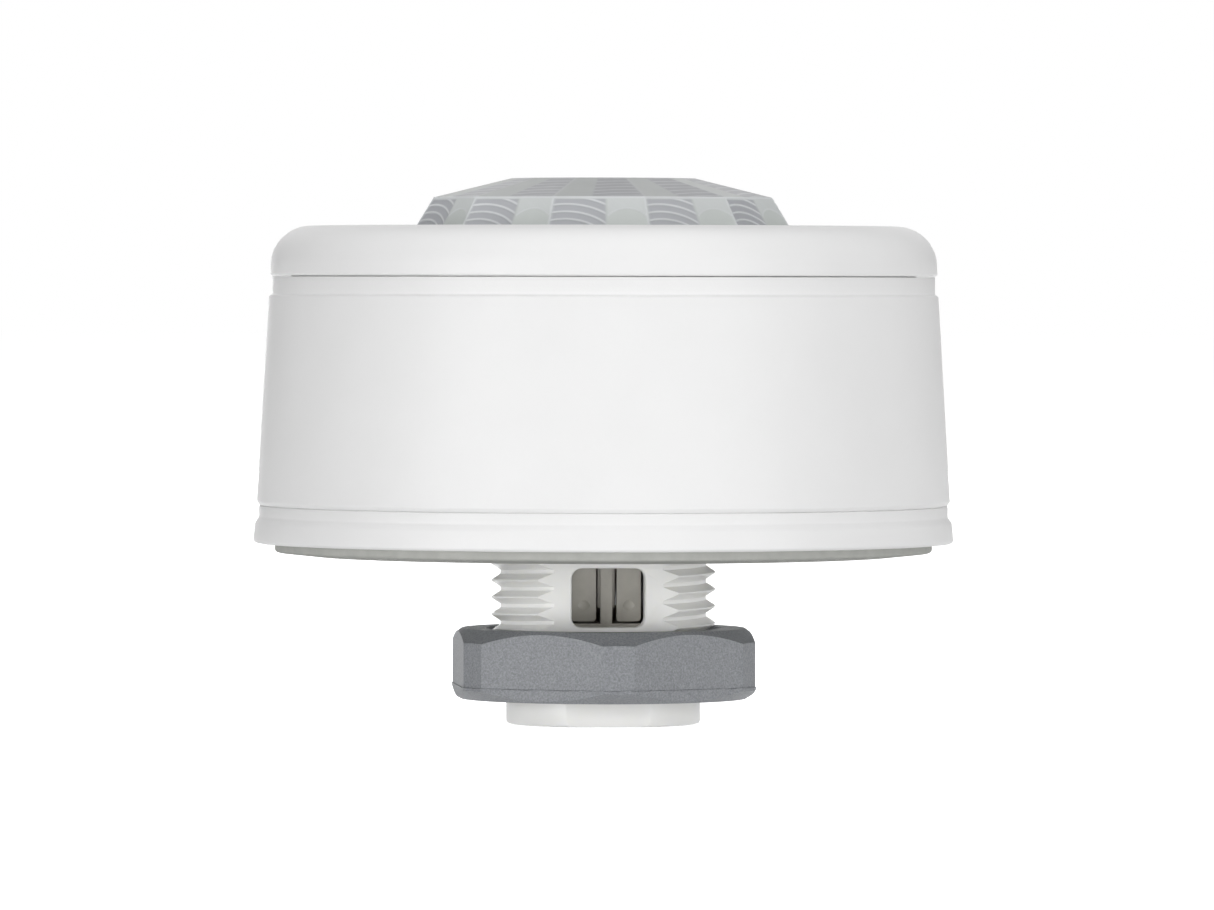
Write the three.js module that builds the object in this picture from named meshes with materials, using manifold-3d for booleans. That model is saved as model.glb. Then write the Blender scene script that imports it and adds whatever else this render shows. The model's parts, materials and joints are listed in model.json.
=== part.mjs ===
// Ceiling presence sensor for a luminaire: a round housing with a faceted lens on top, standing on
// a hollow threaded stem that holds a two-pole push-in terminal block and carries a hex locknut.
// Millimetres. +Z runs up the stem's axis to the lens. Z = 0 is the underside of the sealing gasket,
// the plane that meets the luminaire's wall. The stem's window faces -Y. Angles are in degrees,
// anticlockwise from +X seen from above.

import * as THREE from 'three';
import { mergeGeometries, mergeVertices } from 'three/addons/utils/BufferGeometryUtils.js';
import Module from 'manifold-3d';

const wasm = await Module();
wasm.setup();

// Segments round a circle
const SHELL_SEGS = 48;
const RING_SEGS = 40;
const SMALL_SEGS = 12;

// Housing
const GASKET_R = 29.2;
const GASKET_T = 1.14;
const GASKET_FACE_R = 26;
const GASKET_BORE_R = 10.3;
const RIM_R = 31.1;
const RIM_TOP_Z = 2.96;
const FLOOR_TOP = 2.94;
const BODY_BOTTOM_Z = 4.47;
const BODY_BOTTOM_R = 30.8;
const BODY_TOP_Z = 23.05;
const BODY_TOP_R = 29.72;
const LOWER_GROOVE_R = 30.6;
const UPPER_GROOVE_R = 29.42;
const COVER_BOTTOM_Z = 24.83;
const COVER_TOP_Z = 29.25;
const COVER_R = 29.63;
const COVER_CORNER_R = 3.55;
const LENS_HOLE_R = 17.45;

// The two spigots that centre the shells in each other, each with a groove for its seal
const BASE_SPIGOT = { r: 28.55, bore: 26.5, top: 7.6, grooveR: 27.6, groove: [5.7, 6.7] };
const COVER_SPIGOT = { r: 27.7, bore: 26.0, foot: 24.75, top: 26.8, grooveR: 26.9, groove: [25.4, 26.3] };
const SLIP = 0.1;
const SEALS = {
  housing_seal: { ringR: 28.1, r: 0.42, z: 6.2 },
  cover_seal: { ringR: 27.32, r: 0.36, z: 25.85 },
  stem_seal: { ringR: 11.1, r: 0.42, z: FLOOR_TOP + 0.43 },
};

// Lens: twelve sides in two tiers, radii to the vertices
const LENS_SIDES = 12;
const LENS_TURN = 10;
const LENS_BASE_R = 17.02;
const LENS_TIER_R = 15.5;
const LENS_TIER_Z = 31.66;
const LENS_TOP_R = 8.15;
const LENS_TOP_Z = 33.5;
const LENS_WALL = 0.9;
const LENS_COLLAR = { bore: 15.4, r: 17.3, flangeR: 19.3, flange: [26.4, 27.4], top: 29.15 };
const LENS_RING = { bore: 15.4, r: 24.4, rimBore: 23.2, foot: 25.0, top: 26.3, rimTop: 27.35 };

// Stem: M20 x 1.5 with two flats
const PITCH = 1.5;
const CREST_R = 9.95;
const ROOT_R = 9.15;
const RIDGE_BASE = 1.0;
const RIDGE_STEPS = 30;
const CREST_LEFT_Z = -2.19;
const THREAD_TOP = -0.15;
const THREAD_BOTTOM = -12.45;
const FLAT_Y = 7.65;
const STEM_BORE_R = 6.1;
const SPIGOT_R = 8.62;
const STEM_BOTTOM = -14.95;
const STEM_FLANGE_R = 13.5;
const STEM_FLANGE_TOP = 4.6;
const STEM_SEAL_GROOVE = { inner: 10.6, outer: 11.6, depth: 0.9 };
const WINDOW_W = 6.5;
const WINDOW_TOP = -0.92;
const WINDOW_BOTTOM = -6.15;
const WINDOW_CORNER_R = 0.9;

// Locknut
const NUT_TOP = -6.42;
const NUT_BOTTOM = -12.68;
const NUT_ACROSS_FLATS = 26;
const NUT_CORNER_R = 14.28;
const NUT_TURN = 2.2;
const NUT_BORE_R = 10.05;
const NUT_MOUTH = 0.6;

// Terminal block and its two release levers
const BLOCK_R = 5.95;
const BLOCK_FRONT_Y = -4.6;
const BLOCK_BOTTOM = -8.7;
const BLOCK_FLANGE = { r: 7.4, t: 0.8 };
const CHAMBER_X = [0.62, 3.3];
const CHAMBER_BACK_Y = 3.6;
const CHAMBER_Z = [-5.9, 2.05];
const LEVER_X = [0.92, 3.05];
const LEVER_T = 1.0;
const LEVER_BOTTOM = -5.7;
const LEVER_PIVOT = { y: -3.85, z: 1.2, r: 0.72 };
const WIRE_HOLE = { x: 1.96, y: 1.5, r: 1.25 };
const CONTACT_BAR_X = [1.3, 2.62];
const CONTACT_BAR_Y = [2.85, 3.25];
const CONTACT_PIN_HALF = 0.35;
const SPRING_X = [1.16, 2.76];
const SPRING_T = 0.26;

// Circuit boards and the posts that carry them
const CONTROL_BOARD = { r: 25.5, z: 7.7, t: 1.6 };
const SENSOR_BOARD = { r: 24.5, z: 16.3, t: 1.6 };
const POST_ANGLES = [90, 210, 330];
const POST_R = 21;
const POST_NAMES = ['a', 'b', 'c'];
const POST_BODY_R = 2.7;
const SPACER_R = 2.5;
const SCREW_R = 1.05;
const SCREW_TIP_Z = 4.0;
const SCREW_HEAD_R = 2.0;
const CONTROL_TOP = CONTROL_BOARD.z + CONTROL_BOARD.t;
const SENSOR_TOP = SENSOR_BOARD.z + SENSOR_BOARD.t;

// Movement sensor in its metal can, and the connector between the boards
const PIR_LEADS = [[1.8, 1.8], [-1.8, 1.8], [-1.8, -1.8]];
const PIR_LEAD_R = 0.22;
const PIR_CAN = { brimR: 4.6, brimT: 0.35, r: 4.1, wall: 0.25, height: 3.9 };
const CONNECTOR = { y: 13.5, half: [6.35, 2.54], pitch: 2.54, columns: 5, pinHalf: 0.32 };
const CAPACITOR = { x: -12, y: -9, r: 3.15, top: 5.8, foot: 6.6 };

const WHITE = 0xf0f0ee;
const LENS_WHITE = 0xd6d9d8;
const GASKET_GREY = 0xb4b5b0;
const NUT_GREY = 0x8c8f94;
const CLAMP_GREY = 0xbdb9ab;
const BOARD_GREEN = 0x1d5c3a;
const STEEL = 0xc4c6c8;
const COPPER = 0xc98a5a;
const BLACK = 0x1b1b1d;
const RUBBER = 0x2b2b2d;
const AMBER = 0xf4e6b0;

const group = new THREE.Group();

function rad(degrees) {
  return (degrees * Math.PI) / 180;
}

function add(name, geometry, color, roughness = 0.5, metalness = 0) {
  const material = new THREE.MeshStandardMaterial({ color, roughness, metalness });
  const mesh = new THREE.Mesh(geometry, material);
  mesh.name = name;
  group.add(mesh);
}

function toManifold(geometry) {
  const bare = geometry.clone();
  bare.deleteAttribute('normal');
  bare.deleteAttribute('uv');
  const merged = mergeVertices(bare, 1e-4);
  return new wasm.Manifold(
    new wasm.Mesh({
      numProp: 3,
      vertProperties: new Float32Array(merged.attributes.position.array),
      triVerts: new Uint32Array(merged.index.array),
    }),
  );
}

function toGeometry(manifold) {
  const mesh = manifold.getMesh();
  const geometry = new THREE.BufferGeometry();
  geometry.setAttribute('position', new THREE.BufferAttribute(mesh.vertProperties, 3));
  geometry.setIndex(new THREE.BufferAttribute(mesh.triVerts, 1));
  return geometry;
}

function union(...geometries) {
  return toGeometry(geometries.map(toManifold).reduce((a, b) => a.add(b)));
}

function cut(geometry, ...tools) {
  return toGeometry(tools.map(toManifold).reduce((a, b) => a.subtract(b), toManifold(geometry)));
}

function common(geometry, tool) {
  return toGeometry(toManifold(geometry).intersect(toManifold(tool)));
}

// Profile points are [radius, z], anticlockwise seen with the axis on the left
function turned(points, segs = SHELL_SEGS, closed = true) {
  const profile = points.map(([r, z]) => new THREE.Vector2(r, z));
  if (closed) {
    profile.push(profile[0].clone());
  }
  const geometry = new THREE.LatheGeometry(profile, segs);
  geometry.rotateX(Math.PI / 2);
  return geometry;
}

function box(x0, x1, y0, y1, z0, z1) {
  const geometry = new THREE.BoxGeometry(x1 - x0, y1 - y0, z1 - z0);
  geometry.translate((x0 + x1) / 2, (y0 + y1) / 2, (z0 + z1) / 2);
  return geometry;
}

function cylinder(r, z0, z1, segs = SMALL_SEGS, x = 0, y = 0) {
  const geometry = new THREE.CylinderGeometry(r, r, z1 - z0, segs);
  geometry.rotateX(Math.PI / 2);
  geometry.translate(x, y, (z0 + z1) / 2);
  return geometry;
}

function barAlongX(r, x0, x1, y, z, segs = SMALL_SEGS) {
  const geometry = new THREE.CylinderGeometry(r, r, x1 - x0, segs);
  geometry.rotateZ(Math.PI / 2);
  geometry.translate((x0 + x1) / 2, y, z);
  return geometry;
}

function torus(ringR, r, z) {
  const geometry = new THREE.TorusGeometry(ringR, r, 6, RING_SEGS);
  geometry.translate(0, 0, z);
  return geometry;
}

function extrudedUp(shape, z0, z1) {
  const geometry = new THREE.ExtrudeGeometry(shape, {
    depth: z1 - z0,
    bevelEnabled: false,
    curveSegments: 6,
  });
  geometry.translate(0, 0, z0);
  return geometry;
}

// Outline drawn in X and Z, extruded along Y
function extrudedBack(shape, y0, y1) {
  const geometry = new THREE.ExtrudeGeometry(shape, {
    depth: y1 - y0,
    bevelEnabled: false,
    curveSegments: 5,
  });
  geometry.rotateX(Math.PI / 2);
  geometry.translate(0, y1, 0);
  return geometry;
}

// Outline drawn in Y and Z, extruded along X
function extrudedAcross(shape, x0, x1) {
  const geometry = new THREE.ExtrudeGeometry(shape, {
    depth: x1 - x0,
    bevelEnabled: false,
    curveSegments: 5,
  });
  geometry.rotateX(Math.PI / 2);
  geometry.rotateZ(Math.PI / 2);
  geometry.translate(x0, 0, 0);
  return geometry;
}

function roundedRect(x0, x1, z0, z1, r) {
  const shape = new THREE.Shape();
  shape.moveTo(x0 + r, z0);
  shape.lineTo(x1 - r, z0);
  shape.absarc(x1 - r, z0 + r, r, -Math.PI / 2, 0);
  shape.lineTo(x1, z1 - r);
  shape.absarc(x1 - r, z1 - r, r, 0, Math.PI / 2);
  shape.lineTo(x0 + r, z1);
  shape.absarc(x0 + r, z1 - r, r, Math.PI / 2, Math.PI);
  shape.lineTo(x0, z0 + r);
  shape.absarc(x0 + r, z0 + r, r, Math.PI, Math.PI * 1.5);
  return shape;
}

// A round bar of radius r with a flat on its front and its back
function flattedBar(r, flat, z0, z1, segs = RING_SEGS) {
  const slab = box(-r - 1, r + 1, -flat, flat, z0 - 1, z1 + 1);
  return common(cylinder(r, z0, z1, segs), slab);
}

// A pair of distances from the middle, as a low and a high X on one side of it
function onSide([inner, outer], side) {
  return side > 0 ? [inner, outer] : [-outer, -inner];
}

function aroundPosts(make) {
  return POST_ANGLES.map((angle) => {
    const x = POST_R * Math.cos(rad(angle));
    const y = POST_R * Math.sin(rad(angle));
    return make(x, y);
  });
}

// ---- Housing shells ----

function baseGasket() {
  return turned([
    [GASKET_BORE_R, 0],
    [GASKET_FACE_R, 0],
    [GASKET_R - 0.2, 0.31],
    [GASKET_R, 0.5],
    [GASKET_R, GASKET_T],
    [GASKET_BORE_R, GASKET_T],
  ]);
}

function basePlate() {
  const shell = turned([
    [6, GASKET_T],
    [RIM_R - 0.25, GASKET_T],
    [RIM_R, GASKET_T + 0.25],
    [RIM_R - 0.14, RIM_TOP_Z],
    [LOWER_GROOVE_R, RIM_TOP_Z + 0.49],
    [LOWER_GROOVE_R, BODY_BOTTOM_Z],
    [BASE_SPIGOT.r, BODY_BOTTOM_Z],
    [BASE_SPIGOT.r, BASE_SPIGOT.groove[0]],
    [BASE_SPIGOT.grooveR, BASE_SPIGOT.groove[0]],
    [BASE_SPIGOT.grooveR, BASE_SPIGOT.groove[1]],
    [BASE_SPIGOT.r, BASE_SPIGOT.groove[1]],
    [BASE_SPIGOT.r, BASE_SPIGOT.top],
    [BASE_SPIGOT.bore, BASE_SPIGOT.top],
    [BASE_SPIGOT.bore, FLOOR_TOP],
    [6, FLOOR_TOP],
  ]);
  const boardZ = CONTROL_BOARD.z;
  const posts = aroundPosts((x, y) => cylinder(POST_BODY_R, FLOOR_TOP - 0.5, boardZ, SMALL_SEGS, x, y));
  const pilotFoot = SCREW_TIP_Z - 0.4;
  const pilots = aroundPosts((x, y) => cylinder(SCREW_R + 0.05, pilotFoot, boardZ + 1, SMALL_SEGS, x, y));
  const stemHole = flattedBar(ROOT_R + SLIP, FLAT_Y + SLIP, 0, FLOOR_TOP + 1);
  return cut(union(shell, ...posts), stemHole, ...pilots);
}

function housingBody() {
  const socketR = BASE_SPIGOT.r + SLIP;
  return turned([
    [socketR, BODY_BOTTOM_Z],
    [BODY_BOTTOM_R - 0.28, BODY_BOTTOM_Z],
    [BODY_BOTTOM_R, BODY_BOTTOM_Z + 0.36],
    [BODY_TOP_R, BODY_TOP_Z],
    [UPPER_GROOVE_R, BODY_TOP_Z + 0.15],
    [UPPER_GROOVE_R, COVER_SPIGOT.foot],
    [COVER_SPIGOT.r, COVER_SPIGOT.foot],
    [COVER_SPIGOT.r, COVER_SPIGOT.groove[0]],
    [COVER_SPIGOT.grooveR, COVER_SPIGOT.groove[0]],
    [COVER_SPIGOT.grooveR, COVER_SPIGOT.groove[1]],
    [COVER_SPIGOT.r, COVER_SPIGOT.groove[1]],
    [COVER_SPIGOT.r, COVER_SPIGOT.top],
    [COVER_SPIGOT.bore, COVER_SPIGOT.top],
    [COVER_SPIGOT.bore, BODY_TOP_Z - 0.55],
    [27.4, BODY_TOP_Z - 1.85],
    [28.3, BASE_SPIGOT.top + 1],
    [socketR, BASE_SPIGOT.top + 0.7],
  ]);
}

function topCover() {
  const corner = [0, 18, 36, 54, 72, 90].map((angle) => [
    COVER_R - 0.03 - COVER_CORNER_R + COVER_CORNER_R * Math.cos(rad(angle)),
    COVER_TOP_Z - COVER_CORNER_R + COVER_CORNER_R * Math.sin(rad(angle)),
  ]);
  const socketR = COVER_SPIGOT.r + SLIP;
  const underside = COVER_TOP_Z - 1.8;
  return turned([
    [socketR, COVER_BOTTOM_Z],
    [COVER_R - 0.2, COVER_BOTTOM_Z],
    [COVER_R, COVER_BOTTOM_Z + 0.2],
    ...corner,
    [LENS_HOLE_R, COVER_TOP_Z],
    [LENS_HOLE_R, underside],
    [socketR - 0.5, underside],
    [socketR, underside - 0.45],
  ]);
}

function lensDome() {
  const [flangeFoot, flangeTop] = LENS_COLLAR.flange;
  const collar = turned(
    [
      [LENS_COLLAR.bore, flangeFoot],
      [LENS_COLLAR.flangeR, flangeFoot],
      [LENS_COLLAR.flangeR, flangeTop],
      [LENS_COLLAR.r, flangeTop],
      [LENS_COLLAR.r, LENS_COLLAR.top],
      [LENS_COLLAR.bore, LENS_COLLAR.top],
    ],
    RING_SEGS,
  );
  const dome = turned(
    [
      [0, LENS_TOP_Z - LENS_WALL],
      [LENS_TOP_R - 0.25, LENS_TOP_Z - LENS_WALL],
      [LENS_TIER_R - 0.8, LENS_TIER_Z - 0.75],
      [LENS_BASE_R - 1.0, LENS_COLLAR.top - 0.1],
      [LENS_BASE_R - 1.0, LENS_COLLAR.top - 0.25],
      [LENS_BASE_R + 0.1, LENS_COLLAR.top - 0.25],
      [LENS_BASE_R, LENS_COLLAR.top + 0.05],
      [LENS_TIER_R, LENS_TIER_Z],
      [LENS_TOP_R, LENS_TOP_Z],
      [0, LENS_TOP_Z],
    ],
    LENS_SIDES,
    false,
  );
  dome.rotateZ(rad(LENS_TURN));
  return union(collar, dome);
}

function lensRetainingRing() {
  return turned(
    [
      [LENS_RING.bore, LENS_RING.foot],
      [LENS_RING.r, LENS_RING.foot],
      [LENS_RING.r, LENS_RING.rimTop],
      [LENS_RING.rimBore, LENS_RING.rimTop],
      [LENS_RING.rimBore, LENS_RING.top],
      [LENS_RING.bore, LENS_RING.top],
    ],
    RING_SEGS,
  );
}

// ---- Stem and locknut ----

// One long ridge that climbs round the stem, closed at both ends
function threadRidge() {
  const turns = (THREAD_TOP - THREAD_BOTTOM - RIDGE_BASE) / PITCH;
  const count = Math.floor(turns * RIDGE_STEPS);
  const zStart = THREAD_BOTTOM + RIDGE_BASE / 2;
  const phase = Math.PI - ((CREST_LEFT_Z - zStart) / PITCH) * Math.PI * 2;
  const section = [
    [ROOT_R - 0.3, -RIDGE_BASE / 2 - 0.12],
    [CREST_R, -0.06],
    [CREST_R, 0.06],
    [ROOT_R - 0.3, RIDGE_BASE / 2 + 0.12],
  ];
  const positions = [];
  const index = [];
  for (let i = 0; i <= count; i++) {
    const angle = phase + (i / RIDGE_STEPS) * Math.PI * 2;
    for (const [r, dz] of section) {
      const z = zStart + (i / RIDGE_STEPS) * PITCH + dz;
      positions.push(r * Math.cos(angle), r * Math.sin(angle), z);
    }
  }
  const n = section.length;
  for (let i = 0; i < count; i++) {
    for (let j = 0; j < n; j++) {
      const a = i * n + j;
      const b = i * n + ((j + 1) % n);
      index.push(a, a + n, b, b, a + n, b + n);
    }
  }
  const last = count * n;
  index.push(0, 1, 2, 0, 2, 3);
  index.push(last, last + 2, last + 1, last, last + 3, last + 2);
  const geometry = new THREE.BufferGeometry();
  geometry.setAttribute('position', new THREE.Float32BufferAttribute(positions, 3));
  geometry.setIndex(index);
  return geometry;
}

function threadedStem() {
  const core = turned(
    [
      [0, STEM_BOTTOM],
      [SPIGOT_R - 0.3, STEM_BOTTOM],
      [SPIGOT_R, STEM_BOTTOM + 0.3],
      [SPIGOT_R, THREAD_BOTTOM - 0.4],
      [ROOT_R, THREAD_BOTTOM],
      [ROOT_R, FLOOR_TOP + 0.5],
      [0, FLOOR_TOP + 0.5],
    ],
    RING_SEGS,
    false,
  );
  const reach = STEM_FLANGE_R;
  const slab = box(-reach, reach, -FLAT_Y, FLAT_Y, STEM_BOTTOM - 1, FLOOR_TOP + 1);
  const groove = STEM_SEAL_GROOVE;
  const shaft = common(union(core, threadRidge()), slab);
  const flange = turned(
    [
      [0, FLOOR_TOP],
      [groove.inner, FLOOR_TOP],
      [groove.inner, FLOOR_TOP + groove.depth],
      [groove.outer, FLOOR_TOP + groove.depth],
      [groove.outer, FLOOR_TOP],
      [STEM_FLANGE_R, FLOOR_TOP],
      [STEM_FLANGE_R, STEM_FLANGE_TOP],
      [0, STEM_FLANGE_TOP],
    ],
    RING_SEGS,
    false,
  );
  const bore = cylinder(STEM_BORE_R, STEM_BOTTOM - 1, STEM_FLANGE_TOP + 1, 32);
  const half = WINDOW_W / 2;
  const outline = roundedRect(-half, half, WINDOW_BOTTOM, WINDOW_TOP, WINDOW_CORNER_R);
  const window = extrudedBack(outline, -FLAT_Y - 1, -2);
  return cut(union(shaft, flange), bore, window);
}

function locknut() {
  const outline = new THREE.Shape();
  const half = Math.acos(NUT_ACROSS_FLATS / 2 / NUT_CORNER_R);
  for (let i = 0; i < 6; i++) {
    for (const side of [-half, half]) {
      const angle = rad(NUT_TURN + 60 * i) + side;
      const x = NUT_CORNER_R * Math.cos(angle);
      const y = NUT_CORNER_R * Math.sin(angle);
      if (i === 0 && side < 0) {
        outline.moveTo(x, y);
      } else {
        outline.lineTo(x, y);
      }
    }
  }
  const prism = extrudedUp(outline, NUT_BOTTOM, NUT_TOP);
  const coned = turned(
    [
      [NUT_BORE_R, NUT_BOTTOM + NUT_MOUTH],
      [NUT_BORE_R + NUT_MOUTH, NUT_BOTTOM],
      [12.7, NUT_BOTTOM],
      [14.5, NUT_BOTTOM + 1.08],
      [14.5, NUT_TOP - 1.35],
      [12.6, NUT_TOP],
      [NUT_BORE_R + NUT_MOUTH, NUT_TOP],
      [NUT_BORE_R, NUT_TOP - NUT_MOUTH],
    ],
    RING_SEGS,
  );
  return common(coned, prism);
}

// ---- Terminal block in the stem ----

function terminalHousing() {
  const plug = turned(
    [
      [0, BLOCK_BOTTOM],
      [BLOCK_R - 0.3, BLOCK_BOTTOM],
      [BLOCK_R, BLOCK_BOTTOM + 0.3],
      [BLOCK_R, STEM_FLANGE_TOP],
      [BLOCK_FLANGE.r, STEM_FLANGE_TOP],
      [BLOCK_FLANGE.r, STEM_FLANGE_TOP + BLOCK_FLANGE.t],
      [0, STEM_FLANGE_TOP + BLOCK_FLANGE.t],
    ],
    32,
    false,
  );
  const frontCut = box(-8, 8, -8, BLOCK_FRONT_Y, BLOCK_BOTTOM - 1, STEM_FLANGE_TOP);
  const tools = [frontCut];
  for (const side of [-1, 1]) {
    const [a, b] = onSide(CHAMBER_X, side);
    tools.push(box(a, b, BLOCK_FRONT_Y - 1, CHAMBER_BACK_Y, CHAMBER_Z[0], CHAMBER_Z[1]));
    tools.push(cylinder(WIRE_HOLE.r, BLOCK_BOTTOM - 1, CHAMBER_Z[0] + 0.5, SMALL_SEGS,
      WIRE_HOLE.x * side, WIRE_HOLE.y));
    const [c, d] = onSide(CONTACT_BAR_X, side);
    const [front, back] = CONTACT_BAR_Y;
    tools.push(box(c - SLIP, d + SLIP, front - SLIP, back + SLIP, CHAMBER_Z[1] - 0.5, STEM_FLANGE_TOP + 2));
  }
  return cut(plug, ...tools);
}

function releaseLever(side) {
  const [x0, x1] = onSide(LEVER_X, side);
  const outline = roundedRect(x0, x1, LEVER_BOTTOM, LEVER_PIVOT.z, 0.3);
  const blade = extrudedBack(outline, BLOCK_FRONT_Y, BLOCK_FRONT_Y + LEVER_T);
  const barrel = barAlongX(LEVER_PIVOT.r, x0, x1, LEVER_PIVOT.y, LEVER_PIVOT.z);
  return union(blade, barrel);
}

// A strip bent into a loop whose long leg presses the wire against the contact bar
function clampSpring(side) {
  const line = [
    [2.45, -1.0],
    [2.45, 0.65],
    [1.95, 1.25],
    [0.7, 1.5],
    [-0.7, 1.15],
    [-1.35, 0.2],
    [-1.05, -0.9],
    [0.4, -2.6],
    [2.2, -4.4],
  ];
  const left = [];
  const right = [];
  line.forEach(([y, z], i) => {
    const [py, pz] = line[Math.max(i - 1, 0)];
    const [ny, nz] = line[Math.min(i + 1, line.length - 1)];
    const length = Math.hypot(ny - py, nz - pz);
    const oy = (-(nz - pz) / length) * (SPRING_T / 2);
    const oz = ((ny - py) / length) * (SPRING_T / 2);
    left.push(new THREE.Vector2(y + oy, z + oz));
    right.push(new THREE.Vector2(y - oy, z - oz));
  });
  const shape = new THREE.Shape([...left, ...right.reverse()]);
  return extrudedAcross(shape, ...onSide(SPRING_X, side));
}

function contactBar(side) {
  const [x0, x1] = onSide(CONTACT_BAR_X, side);
  const [front, back] = CONTACT_BAR_Y;
  const middle = (x0 + x1) / 2;
  const shoulder = CONTROL_BOARD.z - 1.2;
  const strip = box(x0, x1, front, back, CHAMBER_Z[0] + 0.4, shoulder);
  const pin = box(
    middle - CONTACT_PIN_HALF,
    middle + CONTACT_PIN_HALF,
    front,
    back,
    shoulder - 0.2,
    CONTROL_TOP + 0.9,
  );
  return union(strip, pin);
}

// ---- Circuit boards and fixings ----

function board({ r, z, t }, holes, holeR) {
  const disc = cylinder(r, z, z + t, RING_SEGS);
  const screwHoles = aroundPosts((x, y) => cylinder(SCREW_R + 0.2, z - 1, z + t + 1, SMALL_SEGS, x, y));
  const pinHoles = holes.map(([x, y]) => cylinder(holeR, z - 1, z + t + 1, 8, x, y));
  return cut(disc, ...screwHoles, ...pinHoles);
}

function boardSpacer(x, y) {
  const tube = cylinder(SPACER_R, CONTROL_TOP, SENSOR_BOARD.z, SMALL_SEGS, x, y);
  return cut(tube, cylinder(SCREW_R + 0.2, CONTROL_TOP - 1, SENSOR_BOARD.z + 1, SMALL_SEGS, x, y));
}

function boardScrew(x, y) {
  const seat = SENSOR_TOP;
  const head = turned(
    [
      [0, seat],
      [SCREW_HEAD_R, seat],
      [SCREW_HEAD_R, seat + 0.7],
      [SCREW_HEAD_R - 0.5, seat + 1.35],
      [0, seat + 1.5],
    ],
    SMALL_SEGS,
    false,
  );
  head.translate(x, y, 0);
  const shank = cylinder(SCREW_R, SCREW_TIP_Z, seat + 0.3, SMALL_SEGS, x, y);
  const slot = box(x - 1.3, x + 1.3, y - 0.22, y + 0.22, seat + 0.8, seat + 2);
  return cut(union(head, shank), slot);
}

function pirHeader() {
  const z = SENSOR_TOP + 0.1;
  const disc = cylinder(PIR_CAN.brimR, z, z + 0.5, RING_SEGS);
  const leads = PIR_LEADS.map(([x, y]) => cylinder(PIR_LEAD_R, SENSOR_BOARD.z - 1.0, z + 0.2, 8, x, y));
  return union(disc, ...leads);
}

function pirCan() {
  const foot = SENSOR_TOP + 0.6;
  const top = foot + PIR_CAN.height;
  const cap = turned(
    [
      [0, foot],
      [PIR_CAN.brimR, foot],
      [PIR_CAN.brimR, foot + PIR_CAN.brimT],
      [PIR_CAN.r, foot + PIR_CAN.brimT],
      [PIR_CAN.r, top],
      [0, top],
    ],
    32,
    false,
  );
  const hollow = cylinder(PIR_CAN.r - PIR_CAN.wall, foot - 1, top - PIR_CAN.wall, 32);
  return cut(cap, hollow, box(-2.5, 2.5, -2, 2, top - 0.9, top + 1));
}

function surfaceMount(x, y, sx, sy, h, z) {
  return box(x - sx / 2, x + sx / 2, y - sy / 2, y + sy / 2, z, z + h);
}

function bufferCapacitor() {
  const { x, y, r, top, foot } = CAPACITOR;
  const base = surfaceMount(x, y, foot, foot, 0.6, CONTROL_TOP);
  return union(base, cylinder(r, CONTROL_TOP + 0.3, CONTROL_TOP + top, 24, x, y));
}

// Places of the connector's two rows of pins
function connectorPins() {
  const pins = [];
  for (let i = 0; i < CONNECTOR.columns; i++) {
    for (const row of [-0.5, 0.5]) {
      const column = i - (CONNECTOR.columns - 1) / 2;
      pins.push([column * CONNECTOR.pitch, CONNECTOR.y + row * CONNECTOR.pitch]);
    }
  }
  return pins;
}

function boardConnector() {
  const [halfX, halfY] = CONNECTOR.half;
  const half = CONNECTOR.pinHalf;
  const body = box(
    -halfX,
    halfX,
    CONNECTOR.y - halfY,
    CONNECTOR.y + halfY,
    CONTROL_TOP,
    SENSOR_BOARD.z - 0.1,
  );
  const pins = connectorPins().map(([x, y]) =>
    box(x - half, x + half, y - half, y + half, CONTROL_TOP - 1.4, SENSOR_BOARD.z - 0.02),
  );
  return union(body, ...pins);
}

// ---- The assembly ----

const pinX = (CONTACT_BAR_X[0] + CONTACT_BAR_X[1]) / 2;
const pinY = (CONTACT_BAR_Y[0] + CONTACT_BAR_Y[1]) / 2;
const controlHoles = [[-pinX, pinY], [pinX, pinY], ...connectorPins()];

add('base_gasket', baseGasket(), GASKET_GREY, 0.85);
add('base_plate', basePlate(), WHITE);
add('housing_body', housingBody(), WHITE);
add('top_cover', topCover(), WHITE);
add('lens_dome', lensDome(), LENS_WHITE, 0.3);
add('lens_retaining_ring', lensRetainingRing(), WHITE);
for (const [name, { ringR, r, z }] of Object.entries(SEALS)) {
  add(name, torus(ringR, r, z), RUBBER, 0.8);
}
add('threaded_stem', threadedStem(), WHITE, 0.4);
add('locknut', locknut(), NUT_GREY, 0.7);
add('terminal_housing', terminalHousing(), CLAMP_GREY, 0.5);
for (const [side, label] of [[-1, 'left'], [1, 'right']]) {
  add(`release_lever_${label}`, releaseLever(side), CLAMP_GREY, 0.45);
  add(`clamp_spring_${label}`, clampSpring(side), STEEL, 0.3, 1);
  add(`contact_bar_${label}`, contactBar(side), COPPER, 0.3, 1);
}
add('control_board', board(CONTROL_BOARD, controlHoles, 0.55), BOARD_GREEN, 0.5);
add('sensor_board', board(SENSOR_BOARD, PIR_LEADS, PIR_LEAD_R + 0.18), BOARD_GREEN, 0.5);
aroundPosts(boardSpacer).forEach((g, i) => add(`board_spacer_${POST_NAMES[i]}`, g, WHITE));
aroundPosts(boardScrew).forEach((g, i) => add(`board_screw_${POST_NAMES[i]}`, g, STEEL, 0.3, 1));
add('board_connector', boardConnector(), BLACK, 0.6);
add('pir_header', pirHeader(), STEEL, 0.3, 1);
add('pir_can', pirCan(), STEEL, 0.3, 1);
add('pir_window', surfaceMount(0, 0, 5.6, 4.6, 0.35, SENSOR_TOP + 3.85), BLACK, 0.2);
add('light_sensor', surfaceMount(9, 4, 2.4, 2.0, 0.8, SENSOR_TOP), AMBER, 0.2);
add('status_led', surfaceMount(9, -4, 3.0, 1.6, 1.2, SENSOR_TOP), AMBER, 0.2);
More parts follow.
